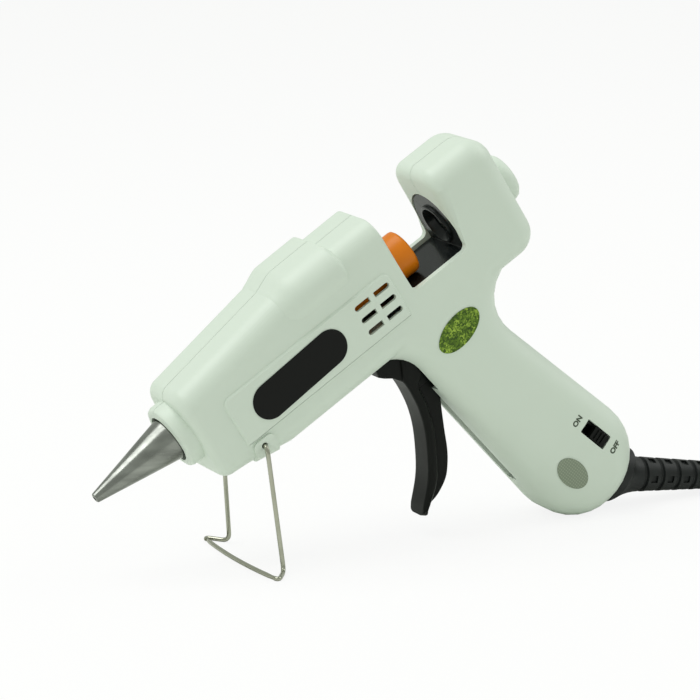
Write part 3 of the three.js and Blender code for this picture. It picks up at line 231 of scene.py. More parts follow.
def extruded(bm, faces):
    raised = bmesh.ops.extrude_face_region(bm, geom=faces)["geom"]
    return [v for v in raised if isinstance(v, bmesh.types.BMVert)]


def turnedAt(x, z, degrees, y=0):
    return Matrix.Translation((x, y, z)) @ Matrix.Rotation(math.radians(degrees), 4, "Y")


def prism(corners, y0, y1, segments=8):
    # a side view outline carried across the gun; a third number rounds that corner
    bm = bmesh.new()
    face = bm.faces.new([bm.verts.new((c[0], y0, c[1])) for c in corners])
    bmesh.ops.translate(bm, vec=(0, y1 - y0, 0), verts=extruded(bm, [face]))
    bmesh.ops.recalc_face_normals(bm, faces=bm.faces)
    for i, corner in enumerate(corners):
        if len(corner) < 3 or not corner[2]:
            continue
        here = flat(corner)
        back = (flat(corners[i - 1]) - here).normalized()
        ahead = (flat(corners[(i + 1) % len(corners)]) - here).normalized()
        edges = [e for e in bm.edges if all((Vector((v.co.x, v.co.z)) - here).length < 1e-3 for v in e.verts)]
        bevelled(bm, edges, corner[2] / math.tan(back.angle(ahead) / 2), segments)
    return bm


def slab(corners, half, edge, segments=10):
    # a prism with both rims rounded, where the flanks turn into the outline
    bm = prism(corners, -half, half)
    bmesh.ops.remove_doubles(bm, verts=bm.verts, dist=0.06)  # a shorter edge would fold under the round
    bevelled(bm, [e for e in bm.edges if abs(e.verts[0].co.y - e.verts[1].co.y) < 1e-4], edge, segments)
    return bm


def grown(corners, grow):
    # the outline moved outward all round, for cavities and for what lies on the skin
    made = []
    count = len(corners)
    for i, corner in enumerate(corners):
        before, here, after = (flat(corners[k % count]) for k in (i - 1, i, i + 1))
        enter, leave = (here - before).normalized(), (after - here).normalized()
        outward = Vector((-enter.y - leave.y, enter.x + leave.x)) * (grow / (1 + enter.dot(leave)))
        bend = enter.x * leave.y - enter.y * leave.x
        radius = corner[2] if len(corner) > 2 else 0
        if radius:
            radius += grow if bend < 0 else -grow
        made.append((here.x + outward.x, here.y + outward.y, max(radius, 0)))
    return made


def turned(profile, steps=64, closed=True):
    # a turned shape round the stick axis, from (along, radius) pairs
    bm = bmesh.new()
    verts = [bm.verts.new((x, 0, r)) for x, r in profile]
    edges = [bm.edges.new(pair) for pair in zip(verts, verts[1:])]
    if closed:
        edges.append(bm.edges.new((verts[-1], verts[0])))
    bmesh.ops.spin(bm, geom=verts + edges, cent=(0, 0, 0), axis=(1, 0, 0), angle=2 * math.pi, steps=steps,
                   use_merge=True, use_duplicate=False)
    bmesh.ops.remove_doubles(bm, verts=bm.verts, dist=0.001)
    bmesh.ops.dissolve_degenerate(bm, dist=0.0001, edges=bm.edges)
    loose = [f for f in bm.faces if f.calc_area() < 1e-9]
    if loose:
        bmesh.ops.delete(bm, geom=loose, context="FACES")
    bmesh.ops.recalc_face_normals(bm, faces=bm.faces)
    return bm


def cylinder(length, radius, steps, centre, axis):
    bm = bmesh.new()
    bmesh.ops.create_cone(bm, cap_ends=True, segments=steps, radius1=radius, radius2=radius, depth=length,
                          matrix=Matrix.Translation(centre) @ Matrix.Rotation(math.pi / 2, 4, axis))
    return bm


def rod(x0, x1, radius, steps=48):
    return cylinder(x1 - x0, radius, steps, ((x0 + x1) / 2, 0, 0), "Y")


def pin(x, z, y0, y1, radius, steps=32):
    return cylinder(y1 - y0, radius, steps, (x, (y0 + y1) / 2, z), "X")


def block(x0, x1, y0, y1, z0, z1):
    bm = bmesh.new()
    bmesh.ops.create_cube(bm, size=1, matrix=Matrix.Translation(((x0 + x1) / 2, (y0 + y1) / 2, (z0 + z1) / 2))
                          @ Matrix.Diagonal((x1 - x0, y1 - y0, z1 - z0, 1)))
    return bm


def acrossGun(bm):
    # turns an outline drawn in side view to face along the gun
    bm.transform(Matrix(((0, 1, 0, 0), (1, 0, 0, 0), (0, 0, 1, 0), (0, 0, 0, 1))))
    return bm


def bothSides(make, y0, y1):
    return [make(y0, y1), make(-y1, -y0)]


def roundedRect(x, z, length, width, radius, degrees=0):
    turn = math.radians(degrees)
    corners = []
    for u, v in ((-0.5, 0.5), (0.5, 0.5), (0.5, -0.5), (-0.5, -0.5)):
        corners.append((x + u * length * math.cos(turn) - v * width * math.sin(turn),
                        z + u * length * math.sin(turn) + v * width * math.cos(turn), radius))
    return corners


def asObject(bm, name="part"):
    mesh = bpy.data.meshes.new(name)
    bm.to_mesh(mesh)
    bm.free()
    return shown(name, mesh)


def held(bm, name="part"):
    bmesh.ops.remove_doubles(bm, verts=bm.verts, dist=0.0005)
    bmesh.ops.recalc_face_normals(bm, faces=bm.faces)
    return asObject(bm, name)


def evaluated(thing):
    bpy.context.view_layer.update()
    graph = bpy.context.evaluated_depsgraph_get()
    return bpy.data.meshes.new_from_object(thing.evaluated_get(graph), depsgraph=graph)


def bake(thing):
    # takes in its modifiers
    mesh = evaluated(thing)
    thing.modifiers.clear()
    thing.data = mesh
    return thing


def meshed(thing):
    # a curve or a text as a bmesh
    bm = bmesh.new()
    bm.from_mesh(evaluated(thing))
    bpy.data.objects.remove(thing)
    return bm


def curveThrough(name, kind, points, radius, rings):
    curve = bpy.data.curves.new(name, "CURVE")
    curve.dimensions = "3D"
    curve.bevel_depth = radius
    curve.bevel_resolution = rings
    curve.use_fill_caps = True
    spline = curve.splines.new(kind)
    spline.points.add(len(points) - 1)
    for knot, point in zip(spline.points, points):
        knot.co = (*point, 1)
    return shown(name, curve)


def carve(base, operation, *tools):
    # joins, cuts or trims base with the tools, which are used up
    for tool in tools:
        step = base.modifiers.new("step", "BOOLEAN")
        step.operation = operation
        step.solver = "MANIFOLD"
        step.object = tool
    bake(base)
    for tool in tools:
        bpy.data.objects.remove(tool)
    return base


def roundedEdges(thing, chosen, radius, segments=8):
    # rounds the edges that chosen picks by their two ends
    bm = bmesh.new()
    bm.from_mesh(thing.data)
    bevelled(bm, [e for e in bm.edges if chosen(*[v.co for v in e.verts])], radius, segments)
    bm.to_mesh(thing.data)
    bm.free()


def finished(thing, name, material, cadNodes=(), matrix=tipped, body="housing", rim=0.0, sharp=35):
    # into place, shaded smooth between its edges, the edges broken by a small bevel where there is a rim
    bm = bmesh.new()
    bm.from_mesh(thing.data)
    bmesh.ops.remove_doubles(bm, verts=bm.verts, dist=0.01)
    bmesh.ops.dissolve_degenerate(bm, dist=0.005, edges=bm.edges)
    manySided = [f for f in bm.faces if len(f.verts) > 4]
    bmesh.ops.triangulate(bm, faces=manySided, quad_method="BEAUTY", ngon_method="BEAUTY")
    bm.transform(matrix)
    for edge in bm.edges:
        edge.smooth = len(edge.link_faces) == 2 and edge.calc_face_angle(0) < math.radians(sharp)
    for face in bm.faces:
        face.smooth = True
        face.material_index = 0
    bm.to_mesh(thing.data)
    bm.free()
    thing.name = name
    thing.data.name = name
    coated(thing, material)
    if rim:
        bevel = thing.modifiers.new("edges", "BEVEL")
        bevel.width = rim * mm
        bevel.segments = 2
        bevel.limit_method = "ANGLE"
        bevel.angle_limit = math.radians(sharp)
        bevel.harden_normals = True
    thing.modifiers.new("shading", "WEIGHTED_NORMAL").keep_sharp = True
    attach(thing, body)
    if cadNodes:
        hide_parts(*cadNodes)
    return thing


# lead: 1.2 m of PVC lead, out of the relief, round a small coil outside the view, up to its plug
lead = {"radius": 2.75, "loops": 6, "pitch": 6.1, "outer": 37, "centre": (56.1, -15), "low": -1.08, "steps": 24}
leadRoot = Matrix.Translation((0.105499, 0, 0.00494)) @ Matrix.Scale(mm, 4)
leadRoute = [
    (0.3, 0, 0), (4, 0, -0.55), (8, 0, -1.05), (12, 0.3, -1.5), (16, 1.2, -1.85), (20, 2.8, -2.05),
    (24, 5.3, -2.15), (27, 8.2, -2.18), (29.2, 11, -2.1), (31.4, 13.8, -1.95), (34.4, 16.7, -1.7),
    (38.4, 19.2, -1.45), (42.4, 20.8, -1.25), (46.4, 21.7, -1.12), (50.6, 22, -1.08)]
tailRoute = [
    (61.6, 22, 5.02), (64, 22, 5.1), (67, 22, 5.7), (70.5, 21.9, 7.1), (75, 20.8, 8.9), (80, 18.3, 10.1),
    (85, 14.3, 10.7), (89, 9.2, 10.75), (91.8, 3, 10.75), (92.4, -3, 10.75), (90.8, -9, 10.9),
    (87.2, -14.3, 11.4), (82, -18.4, 12.5), (77, -20.8, 13.8), (72.6, -21.8, 14.7), (68.6, -22, 15)]


def coilRoute(look):
    # inward on the floor, over one half turn up to the second layer, and outward again
    points = []
    (x, y), half = look["centre"], look["loops"] / 2
    for k in range(look["loops"] * look["steps"] + 1):
        turn = k / look["steps"]
        off = abs(turn - half)
        radius = look["outer"] - look["pitch"] * (half - (2 * off * off + 0.125 if off < 0.25 else off))
        climb = eased((turn - half + 0.25) / 0.5)
        angle = math.pi / 2 - 2 * math.pi * turn
        points.append((x + radius * math.cos(angle), y + radius * math.sin(angle), look["low"] + look["pitch"] * climb))
    return points


def leadCurve():
    points = [leadRoot @ Vector(p) for p in leadRoute + coilRoute(lead) + tailRoute]
    made = curveThrough("lead", "NURBS", points, lead["radius"] * mm, 5)
    made.data.resolution_u = 4
    made.data.splines[0].order_u = 4
    made.data.splines[0].use_endpoint_u = True
    coated(made, "softPvc")
    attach(made, "housing")
    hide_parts("cord_lead", "cord_coil", "cord_tail")
    return made


leadPiece = leadCurve()

# tie: a flat strap round all the turns where lead and tail pass
tie = {"width": 4, "thickness": 0.8, "foot": 0.5, "low": -4.13, "high": 8.07, "near": 1.41, "far": 25.05,
       "corner": 2.4, "footCorner": 1.2}


def tieBand():
    x, half, t = lead["centre"][0], tie["width"] / 2, tie["thickness"]
    near, far, low, high, corner, under = (tie[k] for k in ("near", "far", "low", "high", "corner", "footCorner"))
    ring = [(near - t, high + t, corner), (far + t, high + t, corner), (far + t, low - tie["foot"], under),
            (near - t, low - tie["foot"], under)]
    hole = [(near, high, corner - t), (far, high, corner - t), (far, low, under / 2), (near, low, under / 2)]
    return carve(held(acrossGun(prism(ring, x - half, x + half))), "DIFFERENCE",
                 held(acrossGun(prism(hole, x - half - 1, x + half + 1))))


# plug: two flat pins, the body rests on the coil
plug = {"root": (68.6, -22, 15), "gap": 0.3, "length": 32, "width": 24, "thickness": 14, "edge": 3, "corners": (0.8, 6),
        "rings": 4, "ringPitch": 2.2, "ring": (5.9, 0.55, 0.7), "neck": 3.7,
        "blade": (16, 6.3, 1.6), "bladeEdge": 0.35, "spacing": 12.7, "eye": (3.2, 1.6)}


def plugBody():
    long, wide, thick = plug["length"], plug["width"], plug["thickness"]
    shoulder, (atFace, atNeck) = long * 2 / 3, plug["corners"]
    front = [(0, wide / 2, atFace), (shoulder, wide / 2, atNeck), (shoulder, -wide / 2, atNeck), (0, -wide / 2, atFace)]
    body = held(slab(front, thick / 2, plug["edge"], 5))
    body.data.transform(Matrix.Rotation(math.pi / 2, 4, "X"))
    neck = [(long / 3, 0), (long / 3, thick / 2 - 0.6), (shoulder, thick / 2 - 0.9)]
    radius, taper, deep = plug["ring"]
    for k in range(plug["rings"]):
        x, r = shoulder + 0.6 + plug["ringPitch"] * k, radius - taper * k
        neck += [(x, r), (x + 0.35, r - deep), (x + 0.95, r - deep), (x + 1.3, r - 0.1)]
    neck += [(long, plug["neck"]), (long, 0)]
    return carve(body, "UNION", held(turned(neck)))


def plugBlade(side):
    long, wide, thick = plug["blade"]
    back, hole = plug["eye"]
    near, tip = -plug["gap"], -plug["gap"] - long
    shape = [(tip, wide / 2, thick), (near, wide / 2), (near, -wide / 2), (tip, -wide / 2, thick)]
    blade = held(slab(shape, thick / 2, plug["bladeEdge"], 2))
    carve(blade, "DIFFERENCE", held(pin(back - long, 0, -2, 2, hole)))
    blade.data.transform(Matrix.Translation((0, side * plug["spacing"] / 2, 0)))
    return blade


tiePiece = finished(tieBand(), "tie", "blackAbs", ["cord_tie"], leadRoot, rim=0.15)
plugRoot = leadRoot @ Matrix.Translation(plug["root"]) @ Matrix.Translation((-plug["gap"] - plug["length"], 0, 0))
plugPiece = finished(plugBody(), "plug", "softPvc", ["plug_body"], plugRoot, rim=0.3)
blades = [finished(plugBlade(side), "plugBlade%d" % i, "stampedBrass", ["plug_blade_%d" % i], plugRoot)
          for i, side in ((1, -1), (2, 1))]
print("lead, tie and plug made")

# housing: two ABS half shells, outlines as (along the stick, up from it, corner radius)
housing = {
    "half": 13, "wall": 2, "flankEdge": 6.5, "gripEdge": 10, "parting": 0.08,
    "body": [(-10, 11.08), (46, 19.2), (82.3, 19.6), (126, 19.6, 7.6), (126, -21, 7.6), (28, -21), (13.8, -18),
             (-10, -15.41)],
    "face": (4.6, 3.2),
    "collar": [(0, 0), (0, 8.8), (0.45, 9.85), (1.5, 10.3), (6.6, 10.3), (6.6, 0)],
    "boss": [(124, 0), (124, 8), (127.5, 8), (129.0, 7.55), (129.9, 6.6), (130.5, 5), (130.5, 0)], "bossDrop": 1,
    "gripFront": 71.6, "gripRear": 98.3, "belly": -21, "frontFillet": 12, "rearFillet": 14.5,
    "heel": (103.2, -89.2), "heelRadius": 18.24,
    "notch": (82.3, 103.4, -6.2), "notchRound": 2, "headRound": 3.6, "lipRound": 0.5,
    "panel": [(15.3, 4.9, 2.5), (78, 4.9, 2.5), (78, -11.5, 0.4), (15.3, -11.5, 0.4)],
    "panelRise": 0.62, "panelEdge": 0.5,
    "ear": [(16, -12, 2), (23.5, -12, 2), (23.5, -30), (16, -30)], "earRise": 0.8, "earEdge": 7.3,
    "saddle": {"front": 44, "rear": 68, "ramp": 8.5, "step": 2, "rise": 2.35, "under": 0.3, "drop": 6,
               "along": 60, "about": 48, "inner": 0.6},
    "mouth": (60.5, 88, 17, 40, 7, 5.7), "slit": (33, 83, 4, 2.5),
    "vents": {"front": 63.6, "length": 5.6, "bridge": 1.8, "width": 1.8, "pitch": 4.3, "top": 1.3, "rows": 3},
    "ventPocket": (62.5, 78, 9, 12.5, -9.3, 3.2),
    "cradles": [(12, 14, -3), (44, 46, -3)], "rails": (61, 112, 7.8, -10.8, -9.2),
    "bores": [(-4, 54, 6.9), (-4, 10.6, 7.6), (46.3, 86.3, 7.3), (120, 134.5, 4.2)], "feederArch": (11, 4, 2.3),
    "screws": [(9.8, -12), (52, -14.5), (116.5, 13), (99, -28), (92.5, -80)],
    "screwBoss": (3, 4.2), "screwHole": (-7.3, 4.3, 1.5), "screwSink": (4, 2.8),
    "pivot": (80, -33), "pivotBoss": (5, 7.6, 3.4), "pivotHole": (11, 1.8), "standHole": (19.4, -14.2, 0.975),
    "window": (109.1, -82.5, 10.3, 4.7, -71.4), "switchRoom": (14.6, 8.6, -11, -4.4), "reliefSeat": (-9, 5, 5.5),
}
halfWidth = housing["half"]
outside = halfWidth + 4  # a depth past either flank, for tools that cut through


def meet(p, d, q, e):
    # where two lines cross
    share = ((q.x - p.x) * e.y - (q.y - p.y) * e.x) / (d.x * e.y - d.y * e.x)
    return p + d * share


def gripLines():
    heel = Vector(housing["heel"])
    lines = []
    for x, side in ((housing["gripFront"], -1), (housing["gripRear"], 1)):
        start = Vector((x, housing["belly"]))
        reach = heel - start
        angle = math.atan2(reach.y, reach.x) + side * math.asin(housing["heelRadius"] / reach.length)
        lines.append((start, Vector((math.cos(angle), math.sin(angle)))))
    return heel, lines


def gripFrontAt(depth):
    start, along = gripLines()[1][0]
    return start.x + along.x * (depth + housing["belly"]) / -along.y


def gripCorners():
    heel, ((front, frontLine), (rear, rearLine)) = gripLines()
    down = (frontLine + rearLine).normalized()
    across = Vector((-down.y, down.x))
    bottom = heel + down * housing["heelRadius"]
    heelFront, heelRear = meet(front, frontLine, bottom, across), meet(rear, rearLine, bottom, across)
    belly, radius = housing["belly"], housing["heelRadius"] - 0.01
    frontEnd = front.x - housing["frontFillet"] / math.tan(math.acos(-frontLine.x) / 2) - 0.3
    rearEnd = rear.x + housing["rearFillet"] / math.tan(math.acos(rearLine.x) / 2) + 0.3
    return [(frontEnd, belly + 20), (rearEnd, belly + 20), (rearEnd, belly), (rear.x, belly, housing["rearFillet"]),
            (heelRear.x, heelRear.y, radius), (heelFront.x, heelFront.y, radius),
            (front.x, belly, housing["frontFillet"]), (frontEnd, belly)]


grip = gripCorners()
body = housing["body"]


def bodyTop(x):
    (x0, z0), (x1, z1), (x2, z2) = body[:3]
    return z0 + (z1 - z0) * (x - x0) / (x1 - x0) if x < x1 else z1 + (z2 - z1) * (x - x1) / (x2 - x1)


def saddle(look):
    # a band laid over the barrel: soft ramp in front, crisp step behind, both run out down the flanks
    bm = bmesh.new()
    bmesh.ops.create_grid(bm, x_segments=look["along"], y_segments=look["about"], size=1)
    r = housing["flankEdge"]
    for vert in bm.verts:
        u, v = (vert.co.x + 1) / 2, vert.co.y
        x = look["front"] + (look["rear"] - look["front"]) * u
        lift = look["rise"] * eased((x - look["front"]) / look["ramp"])
        lift *= eased((look["rear"] - x) / look["step"] + 0.08)
        lift -= look["under"] * (1 - eased((x - look["front"]) / 1.5))
        side = abs(v)  # 0 on the crown, the edge is turned from 0.25 to 0.65, the flank follows
        turn = min(max((side - 0.25) / 0.4, 0), 1) * math.pi / 2
        fade = 1 - eased((side - 0.5) / 0.45)
        lift = lift * fade - look["under"] * (1 - fade)
        crown, drop = (halfWidth - r) * min(side / 0.25, 1), look["drop"] * max(side - 0.65, 0) / 0.35
        vert.co = (x, math.copysign(crown + (r + lift) * math.sin(turn), v) if side > 1e-6 else 0,
                   bodyTop(x) - r + (r + lift) * math.cos(turn) - drop)
    for vert in extruded(bm, bm.faces[:]):
        vert.co.y *= look["inner"]
        vert.co.z *= look["inner"]
    return held(bm)


def outerSkin():
    skin = held(slab(body, halfWidth, housing["flankEdge"]), "skin")
    front, faceRound = housing["face"]
    carve(skin, "INTERSECT", held(block(front, 150, -20, 20, -40, 40)))
    roundedEdges(skin, lambda p, q: max(p.x, q.x) < front + 0.01, faceRound)
    collar, boss = (turned(housing[k], 96, False) for k in ("collar", "boss"))
    bmesh.ops.translate(boss, vec=(0, 0, -housing["bossDrop"]), verts=boss.verts)
    ears = held(slab(grown(body, housing["earRise"]), halfWidth + housing["earRise"], housing["earEdge"]))
    carve(ears, "INTERSECT", held(prism(housing["ear"], -20, 20)))
    panel = slab(housing["panel"], halfWidth + housing["panelRise"], housing["panelEdge"], 1)
    return carve(skin, "UNION", saddle(housing["saddle"]), held(collar), held(boss), held(panel), ears,
                 held(slab(grip, halfWidth, housing["gripEdge"])))


def pairOfSlabs(shrink, segments):
    # barrel and grip as one solid, drawn in by shrink
    barrel, handle = [held(slab(grown(shape, -shrink), halfWidth - shrink, housing[edge] - shrink, segments))
                      for shape, edge in ((body, "flankEdge"), (grip, "gripEdge"))]
    return carve(barrel, "UNION", handle)


def hollow():
    wall = housing["wall"]
    inside = pairOfSlabs(wall, 6)
    x0, x1, y0, y1, low, high = housing["ventPocket"]
    carve(inside, "UNION", *[held(p) for p in bothSides(lambda a, b: block(x0, x1, a, b, low, high), y0, y1)])
    near, far, floor = housing["notch"]
    carve(inside, "INTERSECT", held(block(housing["face"][0] + wall, 150, -20, 20, -150, 40)))
    return carve(inside, "DIFFERENCE", held(block(near - wall, near, -14, 14, floor + 0.7, 22)),
                 held(block(far, far + wall, -14, 14, floor, 22)))


def notch():
    near, far, floor = housing["notch"]
    corner = housing["notchRound"]
    return held(prism([(near, 30), (far, 30), (far, floor, corner), (near, floor, corner)], -20, 20))


def triggerOpenings():
    front, rear, top, low, lean, half = housing["mouth"]
    mouth = held(prism([(front, -top), (rear, -top), (gripFrontAt(low) + lean, -low), (front, -low)], -half, half))
    top, low, reach, half = housing["slit"]
    slit = [(gripFrontAt(top) - reach, -top), (gripFrontAt(top) + reach, -top), (gripFrontAt(low) + reach, -low),
            (gripFrontAt(low) - reach, -low)]
    return [mouth, held(prism(slit, -half, half))]


def linings():
    # cradles, rails and bosses inside the shells
    deep = halfWidth - 1
    (whole, *parts) = [block(x0, x1, -deep, deep, low, deep) for x0, x1, low in housing["cradles"]]
    x0, x1, side, low, high = housing["rails"]
    parts += bothSides(lambda y0, y1: block(x0, x1, y0, y1, low, high), side, deep)
    shank, head = housing["screwBoss"]
    for x, z in housing["screws"]:
        parts += [pin(x, z, -deep, 0.1, shank), pin(x, z, 0, deep, head)]
    x, z = housing["pivot"]
    left, right, radius = housing["pivotBoss"]
    parts += [pin(x, z, -deep, -left, radius), pin(x, z, right, deep, radius)]
    whole = carve(held(whole), "UNION", *[held(p) for p in parts])
    return carve(whole, "INTERSECT", pairOfSlabs(1, 4))


def archShape(radius, depth):
    # the back plate's outline seen along the gun
    return [(-radius, -depth), (-radius, radius, radius - 0.01), (radius, radius, radius - 0.01), (radius, -depth)]


def bores():
    near, far, floor = housing["notch"]
    radius, ahead, behind = housing["feederArch"]
    shapes = [rod(*bore) for bore in housing["bores"]]
    shapes.append(acrossGun(prism(archShape(radius, 1 - floor), far - ahead, far + behind, 24)))
    x, z, radius = housing["standHole"]
    shapes.append(pin(x, z, -outside, outside, radius))
    deep, radius = housing["pivotHole"]
    shapes.append(pin(*housing["pivot"], -deep, deep, radius))
    end, seat, radius = housing["screwHole"]
    sinkFrom, sinkRadius = housing["screwSink"]
    for x, z in housing["screws"]:
        shapes += [pin(x, z, end, seat, radius), pin(x, z, sinkFrom, outside, sinkRadius)]
    look = housing["vents"]
    half, long = look["width"] / 2, look["length"]
    left, right, tip = look["front"], look["front"] + long + look["bridge"], half - 0.02
    for row in range(look["rows"]):
        z = look["top"] - row * look["pitch"]
        slots = [[(left, z + half, tip), (left + long, z + half), (left + long, z - half), (left, z - half, tip)],
                 [(right, z + half), (right + long, z + half, tip), (right + long, z - half, tip), (right, z - half)]]
        for slot in slots:
            shapes += bothSides(lambda y0, y1, shape=slot: prism(shape, y0, y1, 4), halfWidth - 4, outside)
    x, z, long, wide, turn = housing["window"]
    shapes.append(prism(roundedRect(x, z, long, wide, 0.3, turn), -outside, 4 - halfWidth))
    long, wide, y0, y1 = housing["switchRoom"]
    shapes.append(prism(roundedRect(x, z, long, wide, 0.3, turn), y0, y1))
    seat = rod(*housing["reliefSeat"])
    seat.transform(toRelief)
    shapes.append(seat)
    return [held(s) for s in shapes]


# bend relief: soft PVC, flared against the heel, ringed, with small pockets between the rings
relief = {"root": (111.5, -104.1), "turn": 39.9, "length": 38, "radius": 5.45, "end": 4.3, "bore": 3.05,
          "flare": [(-3, 0), (-3, 8.6), (1.9, 8.6), (2.6, 8.3), (3.5, 7.5), (4.7, 6.6), (6.2, 6), (8, 5.6)],
          "lean": 0.384, "body": 5.6, "swell": 2.4,
          "neck": [(-7.8, 0), (-7.8, 6.2), (-5.8, 6.2), (-5.8, 5.2), (5, 5.2), (5, 0)],
          "grooves": 5, "first": 10.4, "pitch": 6.2, "groove": 1.6, "depth": 0.9,
          "rows": 5, "rowStart": 6, "pocket": (2.4, 2.2, 0.8)}
toRelief = turnedAt(*relief["root"], relief["turn"])

skin = outerSkin()
skinCopy = shown("skinCopy", skin.data.copy())
carve(skin, "DIFFERENCE", notch())
near, far, floor = housing["notch"]
for wallAt, radius, segments in ((far, housing["headRound"], 8), (near, housing["lipRound"], 4)):
    roundedEdges(skin, lambda p, q, x=wallAt: max(abs(p.x - x), abs(q.x - x)) < 0.01 and max(p.z, q.z) > floor + 3,
                 radius, segments)
carve(skin, "DIFFERENCE", hollow(), *triggerOpenings())
carve(skin, "UNION", linings())
carve(skin, "DIFFERENCE", *bores())
rightShell = shown("rightShell", skin.data.copy())
carve(skin, "INTERSECT", held(block(-40, 200, -30, -housing["parting"], -150, 60)))
carve(rightShell, "INTERSECT", held(block(-40, 200, housing["parting"], 30, -150, 60)))
finished(skin, "leftShell", "mouldedAbs", ["left_shell"])
finished(rightShell, "rightShell", "mouldedAbs", ["right_shell"])
print("housing made")

# nozzle: turned alloy cone with a flat ring at its tip, seated on a dark washer
nozzle = {"tip": -27.6, "tipRadius": 1.55, "bore": 0.75, "root": 6.7, "neck": 3.2, "melt": 1.75, "back": 9,
          "washer": [(1, 3.5), (1, 7.1), (1.2, 7.3), (2.4, 7.3), (2.4, 3.5)]}


def nozzleCone(look):
    tip, root, neck, melt = (look[k] for k in ("tip", "root", "neck", "melt"))
    return held(turned([
        (tip, look["bore"]), (tip, look["tipRadius"] - 0.3), (tip + 0.3, look["tipRadius"]), (-0.5, root - 0.08),
        (0, root), (0.45, root), (0.7, root - 0.25), (0.7, neck), (look["back"], neck), (look["back"], melt),
        (tip / 2, melt)], 96))


finished(nozzleCone(nozzle), "nozzleCone", "turnedAlloy", ["nozzle"])
finished(held(turned(nozzle["washer"])), "washer", "pressedWasher", ["nozzle_washer"])

# stick sleeve: orange tube whose lip stands in the notch
sleeveProfile = [(50.3, 5.2), (50.3, 7), (89.75, 7), (90.35, 6.85), (90.65, 6.45), (90.65, 4.5), (90.4, 4.05),
                 (89.8, 3.9), (58.3, 3.9), (58.3, 5.2)]
finished(held(turned(sleeveProfile, 96)), "stickSleeve", "orangeNylon", ["inlet_sleeve"], sharp=50)
print("nozzle, washer and sleeve made")

# feeder: glossy tray with an arched back plate, a rim round its hole, cheeks and lugs under it
feeder = {"tray": (70, 105.9, 10.6, -8.9, -7.3), "plate": (103.7, 105.9), "arch": 10.6, "hole": 4.3,
          "rim": (102.9, 6.7), "rimBore": 3, "mouth": (5.7, 2.2),
          "drive": (84.179, -11.5, 1.5), "cheeks": (4.5, 4.4, 6, -14, -8.1),
          "clamp": (109.6, -8.3, 1.2), "lugs": (2.2, 2.6, 4.2)}


def feederTray(look):
    x0, x1, half, low, high = look["tray"]
    made = held(block(x0, x1, -half, half, low, high))
    (front, rear), (rimFront, rimRadius), (mouth, mouthDeep) = look["plate"], look["rim"], look["mouth"]
    hole, drive, clamp = look["hole"], look["drive"], look["clamp"]
    rim = turned([(rimFront, look["rimBore"]), (rimFront, rimRadius - 0.45), (rimFront + 0.12, rimRadius - 0.15),
                  (rimFront + 0.45, rimRadius), (rear - 0.5, rimRadius), (rear - 0.5, look["rimBore"])])
    funnel = turned([(rimFront - 1, 0), (rimFront - 1, mouth + 0.3), (rimFront, mouth), (rimFront + 0.5, mouth - 0.35),
                     (rimFront + mouthDeep, hole), (rear + 3, hole), (rear + 3, 0)], 64, False)
    reach, near, far, bottom, top = look["cheeks"]
    cheeks = bothSides(lambda y0, y1: block(drive[0] - reach, drive[0] + reach, y0, y1, bottom, top), near, far)
    reach, near, far = look["lugs"]
    lugs = bothSides(
        lambda y0, y1: block(rear - 1, clamp[0] + reach, y0, y1, clamp[1] - reach, clamp[1] + reach), near, far)
    plate = acrossGun(prism(archShape(look["arch"], -low), front, rear, 24))
    carve(made, "UNION", held(plate), held(rim), *[held(p) for p in cheeks + lugs])
    holes = [held(pin(x, z, -halfWidth, halfWidth, radius)) for x, z, radius in (drive, clamp)]
    return carve(made, "DIFFERENCE", held(funnel), *holes)


finished(feederTray(feeder), "feederTray", "glossyTray", ["feeder_carriage"], body="feeder", rim=0.2)

# trigger: wide curved pad on a narrower web, hub and fork; outlines in shares of reach and drop from the pivot
trigger = {
    "reach": 28.4, "drop": 39.5, "pad": 4.9, "beak": 3.6, "web": 2.2, "edge": 1.4, "beakEdge": 0.8, "webEdge": 0.5,
    "end": (47.3, 3.2, 43), "hub": (4.4, 4.2, 1.8), "lean": 11, "arm": (3.5, 2.8, 23.4), "fork": (1.5, 19.2, 28),
    "nose": [(0.59, -0.342), (0.615, -0.178), (0.568, -0.143), (0.49, -0.1)],
    "front": [(0.418, -0.025), (0.412, 0.076), (0.433, 0.246), (0.504, 0.425), (0.644, 0.633), (0.768, 0.77),
              (0.947, 0.909)],
    "tip": [(1, 0.965), (0.968, 1), (0.915, 0.955)],
    "webRear": [(0.85, 0.945), (0.71, 0.926), (0.545, 0.863), (0.44, 0.776), (0.355, 0.67), (0.27, 0.52),
                (0.165, 0.345), (0.105, 0.25), (0.09, 0.12)],
    "padRear": [(0.683, 0.82), (0.549, 0.673), (0.398, 0.451), (0.32, 0.253), (0.299, 0.076)],
    "padRoot": [(0.16, 0), (0.16, -0.2)], "padTop": [(0.32, -0.2), (0.4, -0.07)],
    "beakRoot": [(0.38, 0.1), (0.16, 0.1), (0.16, -0.2)], "webRoot": [(0, 0), (0.16, -0.2)],
}


def through(points, steps=4):
    # a smooth line through the points
    spots = [Vector(p) for p in points]
    made = []
    for i in range(len(spots) - 1):
        a, b, c, d = (spots[min(max(k, 0), len(spots) - 1)] for k in (i - 1, i, i + 1, i + 2))
        for k in range(steps):
            t = k / steps
            square, cube = 2 * a - 5 * b + 4 * c - d, 3 * b - a - 3 * c + d
            made.append(0.5 * (2 * b + (c - a) * t + square * t * t + cube * t ** 3))
    return made + [spots[-1]]


